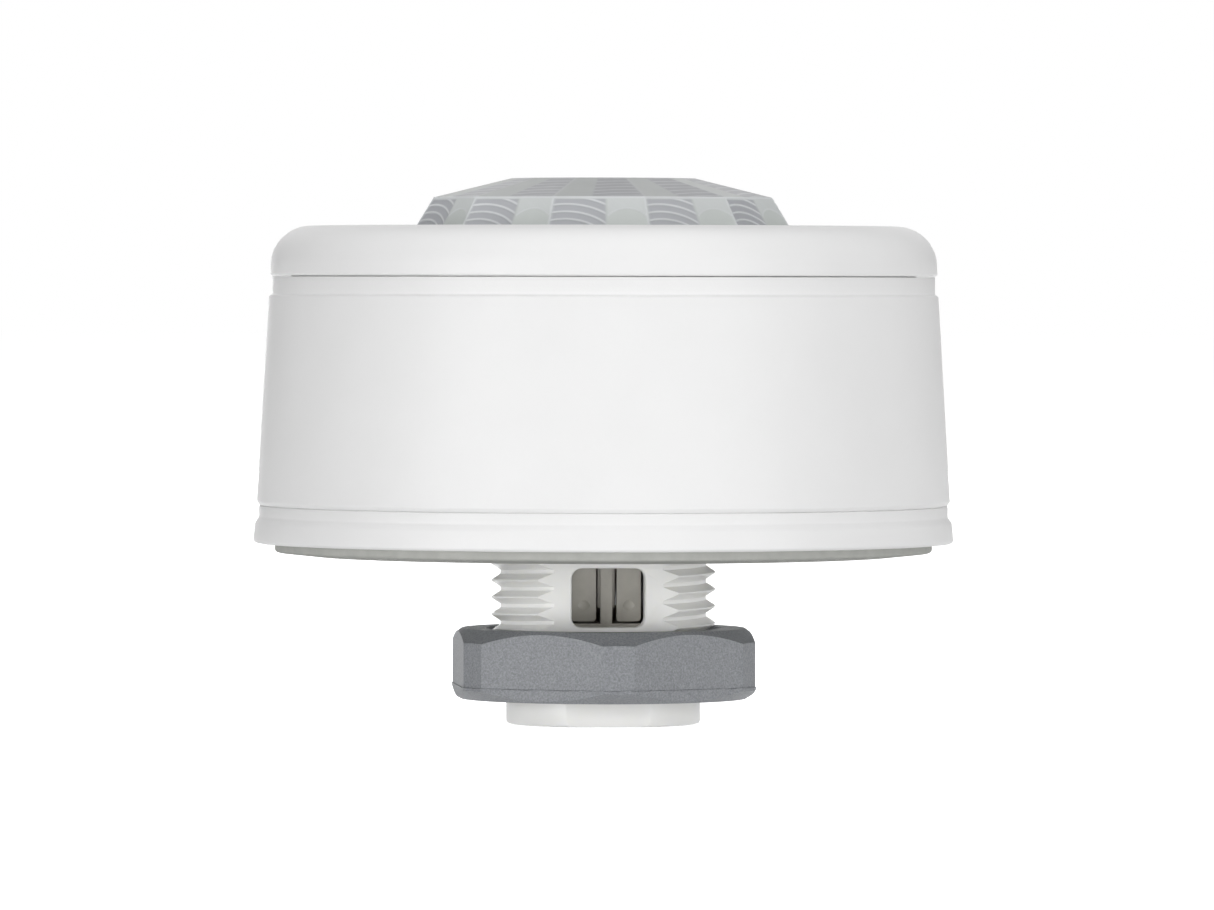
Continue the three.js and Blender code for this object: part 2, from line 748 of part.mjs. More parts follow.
add('ir_receiver', surfaceMount(-9.5, 0, 5.2, 4.2, 2.6, SENSOR_TOP), BLACK, 0.3);
add('microcontroller', surfaceMount(12, -7, 7, 7, 1.0, CONTROL_TOP), BLACK, 0.6);
add('bridge_rectifier', surfaceMount(11, 4, 4.7, 3.9, 2.4, CONTROL_TOP), BLACK, 0.6);
add('buffer_capacitor', bufferCapacitor(), STEEL, 0.3, 1);
add('choke', surfaceMount(-12.5, 3, 6, 6, 3.0, CONTROL_TOP), BLACK, 0.7);

export default group;
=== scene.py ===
"""Ceiling presence sensor on a threaded stem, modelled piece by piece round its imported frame."""

import json
import math

import bpy
from bpy.props import FloatProperty, FloatVectorProperty, IntProperty, PointerProperty
from bpy.types import Operator, Panel, PropertyGroup
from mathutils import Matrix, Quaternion, Vector, noise


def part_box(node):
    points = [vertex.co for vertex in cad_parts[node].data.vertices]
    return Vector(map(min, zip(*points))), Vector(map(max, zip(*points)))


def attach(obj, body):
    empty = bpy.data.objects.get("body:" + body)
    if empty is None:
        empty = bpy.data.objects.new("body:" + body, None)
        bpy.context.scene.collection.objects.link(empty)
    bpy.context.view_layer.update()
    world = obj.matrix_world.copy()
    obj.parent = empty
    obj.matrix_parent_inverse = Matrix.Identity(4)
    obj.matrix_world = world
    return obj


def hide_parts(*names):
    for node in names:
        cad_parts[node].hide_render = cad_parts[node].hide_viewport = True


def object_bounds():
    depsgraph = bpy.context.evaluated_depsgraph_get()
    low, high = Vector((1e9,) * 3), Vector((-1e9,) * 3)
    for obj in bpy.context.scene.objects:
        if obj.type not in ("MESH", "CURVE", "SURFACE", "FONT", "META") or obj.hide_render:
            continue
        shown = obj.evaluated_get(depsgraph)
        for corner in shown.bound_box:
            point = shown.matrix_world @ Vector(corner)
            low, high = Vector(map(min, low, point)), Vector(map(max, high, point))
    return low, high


bl_info = {
    "name": "Presence Sensor Builder",
    "version": (1, 0, 0),
    "blender": (4, 5, 0),
    "location": "View3D > Sidebar > Sensor",
    "description": "Builds a ceiling presence sensor with a faceted lens, a threaded stem and a locknut",
    "category": "Object",
}

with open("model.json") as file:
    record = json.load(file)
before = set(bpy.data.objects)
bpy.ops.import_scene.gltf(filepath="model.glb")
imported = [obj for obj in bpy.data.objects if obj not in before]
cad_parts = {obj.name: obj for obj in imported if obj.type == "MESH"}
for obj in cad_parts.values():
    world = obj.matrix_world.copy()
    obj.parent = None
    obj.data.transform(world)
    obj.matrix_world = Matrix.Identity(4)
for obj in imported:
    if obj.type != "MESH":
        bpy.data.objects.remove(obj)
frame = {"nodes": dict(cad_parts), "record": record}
CAD_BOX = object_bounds()

MM = 0.001
DEG = math.pi / 180
SMOOTH_ANGLE = 32 * DEG


def top_of(node):
    """Height of a node's highest point."""
    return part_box(node)[1].z


def foot_of(node):
    """Height of a node's lowest point."""
    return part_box(node)[0].z


def reach_of(node):
    """Radius of a turned node that is centred on the stem's axis."""
    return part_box(node)[1].x


FLOOR_TOP = top_of("base_gasket") + 1.8 * MM
POST_ANGLES = (90, 210, 330)
POST_CIRCLE = 21 * MM


# ---------------------------------------------------------------------------------------------
# Sizes and colours a user would change
# ---------------------------------------------------------------------------------------------


def length(label, text, default):
    """A setting in metres that can't be negative."""
    return FloatProperty(name=label, description=text, default=default, min=0.0, unit="LENGTH", precision=5)


def height(label, text, default):
    """A setting in metres that may lie under the mounting plane."""
    return FloatProperty(name=label, description=text, default=default, unit="LENGTH", precision=5)


def tilt(label, text, default):
    """A setting that is an angle."""
    return FloatProperty(name=label, description=text, default=default, subtype="ANGLE")


def colour(label, text, default):
    """A colour setting."""
    return FloatVectorProperty(
        name=label, description=text, default=default, size=3, min=0.0, max=1.0, subtype="COLOR"
    )


def share(label, text, default):
    """A setting from 0 to 1."""
    return FloatProperty(name=label, description=text, default=default, min=0.0, max=1.0, subtype="FACTOR")


class SensorShell(PropertyGroup):
    """Housing, cover, base plate and gasket."""

    segments: IntProperty(name="Segments", description="Faces round each shell", default=192, min=24, max=360)
    rim_radius: length("Rim radius", "Widest radius, at the foot of the rim", reach_of("base_plate"))
    rim_slope: length("Rim slope", "Height over which the rim slopes in to its groove", 0.49 * MM)
    rim_height: length("Rim height", "Height of the rim's straight side", 1.82 * MM)
    lower_groove_radius: length("Lower groove radius", "Floor of the shadow groove over the rim", 30.6 * MM)
    wall_foot_radius: length("Wall foot radius", "Wall radius at its foot", reach_of("housing_body"))
    wall_top_radius: length("Wall top radius", "Wall radius at its top, which gives the draft", 29.72 * MM)
    neck_height: length("Neck height", "Height of the neck under the cover", 1.78 * MM)
    upper_groove_radius: length("Upper groove radius", "Radius of the neck under the cover", 29.42 * MM)
    cover_radius: length("Cover radius", "Outer radius of the cover", reach_of("top_cover"))
    cover_corner: length("Cover corner", "Radius of the cover's shoulder", 3.55 * MM)
    cover_hole: length("Lens hole", "Radius of the hole that the lens stands in", 17.45 * MM)
    edge_round: length("Edge rounding", "Rounding of the moulded edges", 0.12 * MM)
    gasket_face: length("Gasket face", "Radius where the gasket's underside starts to rise", 26 * MM)
    white: colour("White", "Matt white of the shells", (0.84, 0.84, 0.84))
    grain: share("Grain", "Depth of the shells' spark-eroded grain", 0.10)
    gasket_grey: colour("Gasket grey", "Soft grey of the sealing gasket", (0.44, 0.445, 0.42))


class SensorLens(PropertyGroup):
    """Two-tier faceted lens."""

    sides: IntProperty(name="Sides", description="Flats round the lens", default=12, min=6, max=24)
    turn: tilt("Turn", "Turn of the first corner", 10 * DEG)
    base_radius: length("Base radius", "Corner radius where the lens leaves the cover", 17.08 * MM)
    tier_radius: length("Tier radius", "Corner radius where the two tiers meet", 15.48 * MM)
    tier_drop: length("Tier drop", "How far the tiers' meeting line lies under the top", 1.72 * MM)
    top_radius: length("Top radius", "Corner radius of the flat top", 8.4 * MM)
    wall: length("Wall", "Thickness of the moulded lens", 0.9 * MM)
    cell_split: share("Cell split", "Share of each flat that the grooved cell takes", 0.585)
    groove_pitch: length("Groove pitch", "Distance from one groove of a lower cell to the next", 0.76 * MM)
    fine_pitch: length("Fine pitch", "Distance from one groove of an upper cell to the next", 1.05 * MM)
    groove_depth: length("Groove depth", "Depth of the lower cells' grooves", 0.07 * MM)
    # The lens greys are partly the cells' own tone and partly painted shade of the dark inside seen through
    # the milky plastic
    grooved_grey: colour("Grooved cells", "Tint of the grooved cells", (0.455, 0.465, 0.49))
    smooth_grey: colour("Smooth cells", "Tint of the smooth cells", (0.60, 0.63, 0.615))
    rib_grey: colour("Ribs", "Tint of the ribs between cells", (0.70, 0.72, 0.73))
    # Painted shade: darkens the upper tier and top, standing for how the light falls on them
    roof_painted_shade: colour("Upper tier", "How much darker the upper tier and top look", (0.76, 0.75, 0.76))


class SensorStem(PropertyGroup):
    """Threaded stem and locknut."""

    segments: IntProperty(name="Segments", description="Faces round the stem", default=96, min=24, max=240)
    pitch: length("Pitch", "Rise of the thread in one turn", 1.5 * MM)
    crest_radius: length("Crest radius", "Radius over the thread", 9.95 * MM)
    root_radius: length("Root radius", "Radius at the foot of the thread", 9.15 * MM)
    crest_at_left: height("Crest at -X", "Height of a thread crest on the left side", -2.19 * MM)
    thread_top: height("Thread top", "Upper end of the thread", 0.1 * MM)
    thread_foot: height("Thread foot", "Lower end of the thread", -12.45 * MM)
    flat_distance: length("Flat distance", "Distance of each flat from the axis", 7.78 * MM)
    bore_radius: length("Bore radius", "Radius of the hole up the stem", 6.1 * MM)
    spigot_radius: length("Spigot radius", "Radius of the plain end", 8.62 * MM)
    window_width: length("Window width", "Width of the window in the front flat", 6.5 * MM)
    window_top: height("Window top", "Upper edge of the window", -0.92 * MM)
    window_foot: height("Window foot", "Lower edge of the window", -6.15 * MM)
    window_corner: length("Window corner", "Corner radius of the window", 0.9 * MM)
    white: colour("White", "Satin white of the stem", (0.82, 0.82, 0.805))
    nut_flats: length("Across flats", "Width of the locknut between two flats", 26 * MM)
    nut_corner_radius: length("Nut corner radius", "Radius of the locknut over its cut corners", 14.28 * MM)
    nut_turn: tilt("Nut turn", "Turn of a flat", 2.2 * DEG)
    parting_height: length("Parting height", "Height of the locknut's flash line over its foot", 1.16 * MM)
    nut_grey: colour("Nut grey", "Grey of the locknut", (0.243, 0.253, 0.270))


class SensorClamp(PropertyGroup):
    """Terminal block, levers and metal parts."""

    block_radius: length("Block radius", "Radius of the terminal block", 5.95 * MM)
    front: height("Front", "Where the block's front face lies", -4.6 * MM)
    rib_half: length("Rib", "Half the thickness of the rib between the levers", 0.51 * MM)
    lip_half: length("Rib lip", "Half the width over the rib's set-back lips", 0.75 * MM)
    chamber_width: length("Chamber edge", "Distance of a chamber's outer wall from the middle", 3.3 * MM)
    chamber_foot: height("Chamber foot", "Floor of the lever chambers", -5.9 * MM)
    chamber_top: height("Chamber top", "Ceiling of the lever chambers", 2.05 * MM)
    crease: height("Lever crease", "Height of the crease across each lever", -4.4 * MM)
    tint: colour("Clamp tint", "Warm grey of the block and levers", (0.42, 0.405, 0.365))


class SensorStage(PropertyGroup):
    """Camera and lights."""

    azimuth: tilt("Azimuth", "Side the camera looks from", -3.4 * DEG)
    roll: tilt("Roll", "Tilt of the camera's horizon", 0.1 * DEG)
    distance: length("Distance", "From the camera to the stem's axis", 835 * MM)
    camera_height: height("Camera height", "Height of the camera over the mounting plane", 24.4 * MM)
    aim_height: height("Aim height", "Height that the camera looks at", 8.93 * MM)
    aim_side: height("Aim side", "How far right of the axis the camera looks", 0.31 * MM)
    focal_length: FloatProperty(name="Focal length", description="In millimetres", default=278.6, min=20)
    brightness: FloatProperty(name="Brightness", description="Gain of all the soft boxes", default=1.0, min=0)


SETTINGS = {
    "sensor_shell": SensorShell,
    "sensor_lens": SensorLens,
    "sensor_stem": SensorStem,
    "sensor_clamp": SensorClamp,
    "sensor_stage": SensorStage,
}


# ---------------------------------------------------------------------------------------------
# Modelling steps
# ---------------------------------------------------------------------------------------------


def clear_selection():
    """Leaves edit mode and selects nothing."""
    if bpy.context.object and bpy.context.object.mode != "OBJECT":
        bpy.ops.object.mode_set(mode="OBJECT")
    bpy.ops.object.select_all(action="DESELECT")


def activate(piece):
    """Selects one object only and makes it the active one."""
    clear_selection()
    piece.select_set(True)
    bpy.context.view_layer.objects.active = piece


def name_new(name):
    """Names the object that an operator has just added, and gives it back."""
    piece = bpy.context.object
    piece.name = name
    piece.data.name = name
    return piece


def settle(piece):
    """Puts a piece's place into its mesh, so that the object sits unturned at the origin."""
    activate(piece)
    bpy.ops.object.transform_apply(location=True, rotation=True, scale=True)


def edit_all(piece, kind="FACE"):
    """Opens a piece for editing with everything selected."""
    activate(piece)
    bpy.ops.object.mode_set(mode="EDIT")
    bpy.ops.mesh.select_mode(type=kind)
    bpy.ops.mesh.select_all(action="SELECT")


def close_edit(piece):
    """Merges doubles, turns the faces outwards and leaves edit mode."""
    bpy.ops.mesh.select_all(action="SELECT")
    bpy.ops.mesh.remove_doubles(threshold=0.001 * MM)
    bpy.ops.mesh.normals_make_consistent(inside=False)
    bpy.ops.object.mode_set(mode="OBJECT")
    return piece


def raise_rings(profile):
    """Extrudes the selected ring through each (radius, height) of a profile."""
    for (radius, z), (next_radius, next_z) in zip(profile, profile[1:]):
        bpy.ops.mesh.extrude_edges_move(TRANSFORM_OT_translate={"value": (0, 0, next_z - z)})
        if abs(next_radius - radius) > 1e-9:
            grow = next_radius / radius
            bpy.ops.transform.resize(value=(grow, grow, 1), center_override=(0, 0, next_z))


def turned(name, profile, segments, place=(0, 0)):
    """A closed ring turned round the vertical: its last point joins its first."""
    clear_selection()
    bpy.ops.mesh.primitive_circle_add(
        vertices=segments, radius=profile[0][0], location=(0, 0, profile[0][1]), fill_type="NOTHING"
    )
    piece = name_new(name)
    settle(piece)
    edit_all(piece, "EDGE")
    raise_rings(profile)
    bpy.ops.mesh.select_all(action="DESELECT")
    bpy.ops.mesh.select_non_manifold()
    bpy.ops.mesh.bridge_edge_loops()
    close_edit(piece)
    return move_to(piece, place)


def turned_solid(name, profile, segments, place=(0, 0)):
    """A solid turned round the vertical: its first and last rings are filled."""
    clear_selection()
    bpy.ops.mesh.primitive_circle_add(
        vertices=segments, radius=profile[0][0], location=(0, 0, profile[0][1]), fill_type="NGON"
    )
    piece = name_new(name)
    settle(piece)
    edit_all(piece, "EDGE")
    bpy.ops.mesh.select_all(action="DESELECT")
    bpy.ops.mesh.select_non_manifold()
    raise_rings(profile)
    bpy.ops.mesh.edge_face_add()
    close_edit(piece)
    return move_to(piece, place)


def move_to(piece, place):
    """Moves a finished piece sideways to its place."""
    if place != (0, 0):
        activate(piece)
        piece.location = (place[0], place[1], 0)
        settle(piece)
    return piece


def block(name, low, high):
    """A cube stretched between two corners, as the start of a piece or of a cutter."""
    clear_selection()
    bpy.ops.mesh.primitive_cube_add(size=1, location=[(a + b) / 2 for a, b in zip(low, high)])
    piece = name_new(name)
    piece.scale = [b - a for a, b in zip(low, high)]
    settle(piece)
    return piece


def select_faces(piece, wanted):
    """Opens a piece for editing with only the faces selected that a test picks."""
    edit_all(piece)
    bpy.ops.mesh.select_all(action="DESELECT")
    bpy.ops.object.mode_set(mode="OBJECT")
    for face in piece.data.polygons:
        face.select = wanted(face)
    bpy.ops.object.mode_set(mode="EDIT")


def bevel_edges_along(piece, axis, width, steps):
    """Rounds the straight edges of a piece that run along one axis (0, 1 or 2)."""
    edit_all(piece, "EDGE")
    bpy.ops.mesh.select_all(action="DESELECT")
    bpy.ops.object.mode_set(mode="OBJECT")
    points = piece.data.vertices
    for edge in piece.data.edges:
        run = (points[edge.vertices[0]].co - points[edge.vertices[1]].co).normalized()
        edge.select = abs(run[axis]) > 0.99
    bpy.ops.object.mode_set(mode="EDIT")
    bpy.ops.mesh.bevel(offset=width, segments=steps, affect="EDGES")
    return close_edit(piece)


def modifier(piece, kind, **values):
    """Adds a modifier, sets it and applies it."""
    activate(piece)
    bpy.ops.object.modifier_add(type=kind)
    added = piece.modifiers[-1]
    for key, value in values.items():
        setattr(added, key, value)
    bpy.ops.object.modifier_apply(modifier=added.name)
    return piece


def soften(piece, width, steps=3, angle=25 * DEG):
    """Rounds every edge that is sharper than an angle."""
    return modifier(
        piece,
        "BEVEL",
        width=width,
        segments=steps,
        limit_method="ANGLE",
        angle_limit=angle,
        use_clamp_overlap=True,
        miter_outer="MITER_ARC",
    )


def combine(piece, other, operation):
    """Joins to, cuts with or keeps what is common to another object, which is then removed."""
    modifier(piece, "BOOLEAN", operation=operation, object=other, solver="EXACT")
    bpy.data.objects.remove(other)
    return piece


def smooth(piece, angle=SMOOTH_ANGLE):
    """Smooth shading with creases kept sharp."""
    activate(piece)
    bpy.ops.object.shade_smooth_by_angle(angle=angle)
    return piece


def flatten_shading(piece):
    """Keeps the large flat faces of a smooth-shaded piece evenly lit up to their rounded edges."""
    return modifier(piece, "WEIGHTED_NORMAL", weight=80, keep_sharp=True)


def finish_piece(piece, body, slot, material, *nodes):
    """Gives a piece its material and its place in the frame."""
    piece.data.materials.clear()
    piece.data.materials.append(material)
    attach(piece, body)
    if nodes:
        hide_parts(*nodes)


def arc(centre_radius, centre_z, radius, start, end, steps):
    """Profile points of an arc, angles in degrees from the outward direction."""
    points = []
    for i in range(steps + 1):
        angle = (start + (end - start) * i / steps) * DEG
        points.append((centre_radius + radius * math.cos(angle), centre_z + radius * math.sin(angle)))
    return points


def on_circle(radius, angle):
    """The point at an angle in degrees on a circle round the stem's axis."""
    return radius * math.cos(angle * DEG), radius * math.sin(angle * DEG)


# ---------------------------------------------------------------------------------------------
# Materials
# ---------------------------------------------------------------------------------------------


# The span that nearly all values of a noise lie in
MIDDLE_OF_NOISE = (0.3, 0.7)


class Shade:
    """A small hand for building one node material."""

    def __init__(self, name, base, roughness, **inputs):
        self.material = bpy.data.materials.new(name)
        self.material.use_nodes = True
        self.tree = self.material.node_tree
        self.shader = self.tree.nodes["Principled BSDF"]
        self.shader.inputs["Base Color"].default_value = (*base, 1)
        self.shader.inputs["Roughness"].default_value = roughness
        for key, value in inputs.items():
            self.shader.inputs[key.replace("_", " ")].default_value = value
        self.coords = self.add("ShaderNodeTexCoord").outputs["Object"]
        self.height = None

    def add(self, kind, **values):
        """Adds a node with its settings."""
        node = self.tree.nodes.new(kind)
        for key, value in values.items():
            setattr(node, key, value)
        return node

    def link(self, source, target):
        """Joins an output to an input."""
        self.tree.links.new(source, target)

    def noise(self, size, detail=3.0, rough=0.5, stretch=(1, 1, 1)):
        """Noise whose features are about size metres across."""
        mapping = self.add("ShaderNodeMapping")
        mapping.inputs["Scale"].default_value = stretch
        self.link(self.coords, mapping.inputs["Vector"])
        node = self.add("ShaderNodeTexNoise")
        node.inputs["Scale"].default_value = 1 / size
        node.inputs["Detail"].default_value = detail
        node.inputs["Roughness"].default_value = rough
        self.link(mapping.outputs["Vector"], node.inputs["Vector"])
        return node.outputs["Fac"]

    def ramp(self, value, low, high, dark, light):
        """Maps a value between low and high to a colour between dark and light."""
        node = self.add("ShaderNodeValToRGB")
        node.color_ramp.elements[0].position = low
        node.color_ramp.elements[0].color = (*dark, 1)
        node.color_ramp.elements[1].position = high
        node.color_ramp.elements[1].color = (*light, 1)
        self.link(value, node.inputs["Fac"])
        return node.outputs["Color"]

    def tint(self, value, base, spread):
        """Colours the surface with a base that wanders by a share up and down."""
        dark = [c * (1 - spread) for c in base]
        light = [min(c * (1 + spread), 1) for c in base]
        self.link(self.ramp(value, *MIDDLE_OF_NOISE, dark, light), self.shader.inputs["Base Color"])

    def roughen(self, value, low, high):
        """Lets the roughness wander between two values."""
        node = self.add("ShaderNodeMapRange")
        node.inputs["To Min"].default_value = low
        node.inputs["To Max"].default_value = high
        self.link(value, node.inputs["Value"])
        self.link(node.outputs["Result"], self.shader.inputs["Roughness"])

    def bump(self, value, distance, strength=1.0):
        """Adds a bump of a real depth in metres over the ones before."""
        node = self.add("ShaderNodeBump")
        node.inputs["Distance"].default_value = distance
        node.inputs["Strength"].default_value = strength
        self.link(value, node.inputs["Height"])
        if self.height:
            self.link(self.height, node.inputs["Normal"])
        self.height = node.outputs["Normal"]
        self.link(self.height, self.shader.inputs["Normal"])


def moulded_white(name, base, grain):
    """Matt white housing plastic with a spark-eroded grain and the faint waviness of a moulding."""
    shade = Shade(name, base, 0.5, Specular_IOR_Level=0.35)
    shade.tint(shade.noise(9 * MM, 2.0), base, 0.012)
    shade.roughen(shade.noise(0.9 * MM, 3.0), 0.42, 0.58)
    shade.bump(shade.noise(6 * MM, 1.0), 0.02 * MM, grain * 2)
    shade.bump(shade.noise(0.22 * MM, 4.0, 0.6), 0.03 * MM, grain * 4)
    return shade.material


def satin_white(name, base):
    """Smoother white plastic, with the drag marks that a screwed thread leaves."""
    shade = Shade(name, base, 0.34, Specular_IOR_Level=0.45)
    shade.tint(shade.noise(4 * MM, 3.0), base, 0.02)
    shade.roughen(shade.noise(0.7 * MM, 3.0), 0.28, 0.42)
    shade.bump(shade.noise(0.35 * MM, 3.0, 0.5, (1, 1, 0.25)), 0.02 * MM, 0.35)
    shade.shader.inputs["Subsurface Weight"].default_value = 0.6
    shade.shader.inputs["Subsurface Radius"].default_value = (1, 1, 0.9)
    shade.shader.inputs["Subsurface Scale"].default_value = 0.7 * MM
    return shade.material


def soft_gasket(name, base):
    """Closed-cell sealing foam with a fine skin."""
    shade = Shade(name, base, 0.85, Specular_IOR_Level=0.2)
    shade.tint(shade.noise(1.2 * MM, 4.0), base, 0.06)
    shade.bump(shade.noise(0.18 * MM, 4.0, 0.7), 0.05 * MM, 0.6)
    return shade.material


def groove_lines(shade):
    """From 0 to 1 where a groove of the lens climbs to its crest, counted by the cells' rings."""
    rings = shade.add("ShaderNodeAttribute", attribute_name="rings")
    saw = shade.add("ShaderNodeMath", operation="FRACT")
    shade.link(rings.outputs["Fac"], saw.inputs[0])
    crest = shade.add("ShaderNodeMath", operation="PINGPONG")
    crest.inputs[1].default_value = 0.5
    shade.link(saw.outputs[0], crest.inputs[0])
    line = shade.add("ShaderNodeMapRange", interpolation_type="SMOOTHSTEP")
    line.inputs["From Min"].default_value = 0.02
    line.inputs["From Max"].default_value = 0.2
    line.inputs["To Min"].default_value = 1.0
    line.inputs["To Max"].default_value = 0.0
    shade.link(crest.outputs[0], line.inputs["Value"])
    return line.outputs["Result"]


def milky_lens(name, lens):
    """Milky polyethylene, tinted cell by cell through the mesh's own cell attributes. Its greys are partly
    the cells' own tone and partly painted shade of the dark inside seen through the plastic; the groove
    crests carry a painted highlight and the upper tier a painted shade.
    """
    shade = Shade(name, lens.smooth_grey, 0.36, Specular_IOR_Level=0.35)

    def mixed(factor, low, high, blend="MIX"):
        node = shade.add("ShaderNodeMix", data_type="RGBA", blend_type=blend)
        for source, socket in ((factor, "Factor"), (low, "A"), (high, "B")):
            if isinstance(source, (float, tuple)):
                node.inputs[socket].default_value = source
            else:
                shade.link(source, node.inputs[socket])
        return node.outputs["Result"]

    def attribute(key):
        return shade.add("ShaderNodeAttribute", attribute_name=key).outputs["Fac"]

    grooved = attribute("grooved")
    crest_relief_and_highlight = shade.add("ShaderNodeMath", operation="MULTIPLY")
    shade.link(groove_lines(shade), crest_relief_and_highlight.inputs[0])
    shade.link(grooved, crest_relief_and_highlight.inputs[1])
    crest_relief_and_highlight = crest_relief_and_highlight.outputs[0]
    base = mixed(grooved, (*lens.smooth_grey, 1), (*lens.grooved_grey, 1))
    # Painted highlight: the groove crests are lit up in the rib grey for the shine along the ridges; the same
    # lines also give the bump below
    base = mixed(crest_relief_and_highlight, base, (*lens.rib_grey, 1))
    base = mixed(attribute("rib"), base, (*lens.rib_grey, 1))
    # Painted shade: the upper tier and top are multiplied darker for the light that falls on them
    base = mixed(attribute("roof"), base, (*lens.roof_painted_shade, 1), "MULTIPLY")
    cloud = shade.ramp(shade.noise(3 * MM, 3.0), *MIDDLE_OF_NOISE, (0.96,) * 3, (1,) * 3)
    shade.link(mixed(1.0, base, cloud, "MULTIPLY"), shade.shader.inputs["Base Color"])
    shade.roughen(shade.noise(1.0 * MM, 2.0), 0.32, 0.42)
    shade.bump(crest_relief_and_highlight, 0.03 * MM, 0.6)
    return shade.material


def grained_nylon(name, base):
    """Grey polyamide with the sparkling, pebbled grain of an eroded mould."""
    shade = Shade(name, base, 0.5, Specular_IOR_Level=0.45)
    shade.tint(shade.noise(0.17 * MM, 2.0, 0.7), base, 0.26)
    shade.roughen(shade.noise(0.4 * MM, 3.0), 0.45, 0.65)
    shade.bump(shade.noise(0.2 * MM, 3.0, 0.65), 0.06 * MM, 0.8)
    shade.bump(shade.noise(2.5 * MM, 2.0), 0.08 * MM, 0.25)
    return shade.material


def clamp_plastic(name, base):
    """Warm grey satin polyamide of the terminal block."""
    shade = Shade(name, base, 0.42, Specular_IOR_Level=0.45)
    shade.tint(shade.noise(1.1 * MM, 3.0), base, 0.05)
    shade.bump(shade.noise(0.3 * MM, 3.0), 0.02 * MM, 0.4)
    return shade.material


def bright_metal(name, base, roughness, streak=(1, 1, 8)):
    """Rolled or drawn metal with fine streaks."""
    shade = Shade(name, base, roughness, Metallic=1.0)
    shade.tint(shade.noise(0.5 * MM, 4.0, 0.6, streak), base, 0.08)
    shade.roughen(shade.noise(0.4 * MM, 3.0, 0.5, streak), roughness * 0.8, roughness * 1.3)
    shade.bump(shade.noise(0.2 * MM, 3.0, 0.5, streak), 0.01 * MM, 0.4)
    return shade.material


def dark_epoxy(name, base, roughness):
    """Moulded black packages and rubber."""
    shade = Shade(name, base, roughness)
    shade.tint(shade.noise(0.6 * MM, 3.0), base, 0.15)
    shade.bump(shade.noise(0.15 * MM, 4.0, 0.6), 0.02 * MM, 0.5)
    return shade.material


def board_green(name, base):
    """Solder mask with the raised relief of copper tracks under it."""
    shade = Shade(name, base, 0.3, Specular_IOR_Level=0.5)
    tracks = shade.add("ShaderNodeTexVoronoi", feature="DISTANCE_TO_EDGE", distance="MANHATTAN")
    tracks.inputs["Scale"].default_value = 1 / (1.6 * MM)
    shade.link(shade.coords, tracks.inputs["Vector"])
    light = [min(c * 2.2 + 0.01, 1) for c in base]
    shade.link(
        shade.ramp(tracks.outputs["Distance"], 0.04, 0.07, light, base), shade.shader.inputs["Base Color"]
    )
    shade.bump(tracks.outputs["Distance"], 0.03 * MM, 0.5)
    shade.bump(shade.noise(0.4 * MM, 3.0), 0.01 * MM, 0.3)
    return shade.material


def clear_epoxy(name, base):
    """Slightly amber epoxy of the light-emitting and light-sensing chips."""
    shade = Shade(name, base, 0.12, Transmission_Weight=0.35, IOR=1.5)
    shade.tint(shade.noise(0.8 * MM, 2.0), base, 0.05)
    shade.bump(shade.noise(0.3 * MM, 2.0), 0.005 * MM, 0.3)
    return shade.material


MATERIALS = {}


def make_materials(scene):
    """All finishes, by the record's slot names."""
    shell, stem = scene.sensor_shell, scene.sensor_stem
    MATERIALS.update(
        housing=moulded_white("moulded_white", shell.white, shell.grain),
        stem=satin_white("satin_white", stem.white),
        gasket=soft_gasket("soft_gasket", shell.gasket_grey),
        lens=milky_lens("milky_lens", scene.sensor_lens),
        nut=grained_nylon("grained_nylon", stem.nut_grey),
        clamp=clamp_plastic("clamp_plastic", scene.sensor_clamp.tint),
        # Painted shade: the levers' tint is a little darker than the block's, for the shade they lie in
        # behind the window
        lever=clamp_plastic("lever_plastic_painted_shade", [c * 0.96 for c in scene.sensor_clamp.tint]),
        steel=bright_metal("bright_steel", (0.36, 0.37, 0.38), 0.42),
        copper=bright_metal("tinned_copper", (0.78, 0.60, 0.46), 0.3),
        board=board_green("board_green", (0.012, 0.10, 0.045)),
        black=dark_epoxy("dark_epoxy", (0.018, 0.018, 0.019), 0.55),
        seal=dark_epoxy("seal_rubber", (0.022, 0.022, 0.022), 0.75),
        amber=clear_epoxy("clear_epoxy", (0.85, 0.78, 0.55)),
    )


class SENSOR_OT_materials(Operator):
    """Makes every finish and lays it on the frame's own nodes"""

    bl_idname = "sensor.materials"
    bl_label = "Finishes"

    def execute(self, context):
        make_materials(context.scene)
        slots = {part["node"]: part["material_slot"] for part in frame["record"]["subparts"]}
        for name, node in frame["nodes"].items():
            node.data.materials.clear()
            node.data.materials.append(MATERIALS[slots[name]])
        return {"FINISHED"}


# ---------------------------------------------------------------------------------------------
# Shells
# ---------------------------------------------------------------------------------------------


class SENSOR_OT_gasket(Operator):
    """Flat sealing ring under the base plate, whose underside rises towards its edge"""

    bl_idname = "sensor.gasket"
    bl_label = "Gasket"

    def execute(self, context):
        shell = context.scene.sensor_shell
        radius, top = reach_of("base_gasket"), top_of("base_gasket")
        bore, lip, corner = 10.3 * MM, 0.15 * MM, 0.3 * MM
        profile = [(bore + lip, 0), (shell.gasket_face, 0)]
        profile += arc(radius - corner, 0.3 * MM + corner, corner, -80, 0, 6)
        profile += [(radius, top), (bore, top), (bore, lip)]
        piece = turned("gasket", profile, shell.segments)
        smooth(piece)
        finish_piece(piece, "sensor", "gasket", MATERIALS["gasket"], "base_gasket")
        return {"FINISHED"}


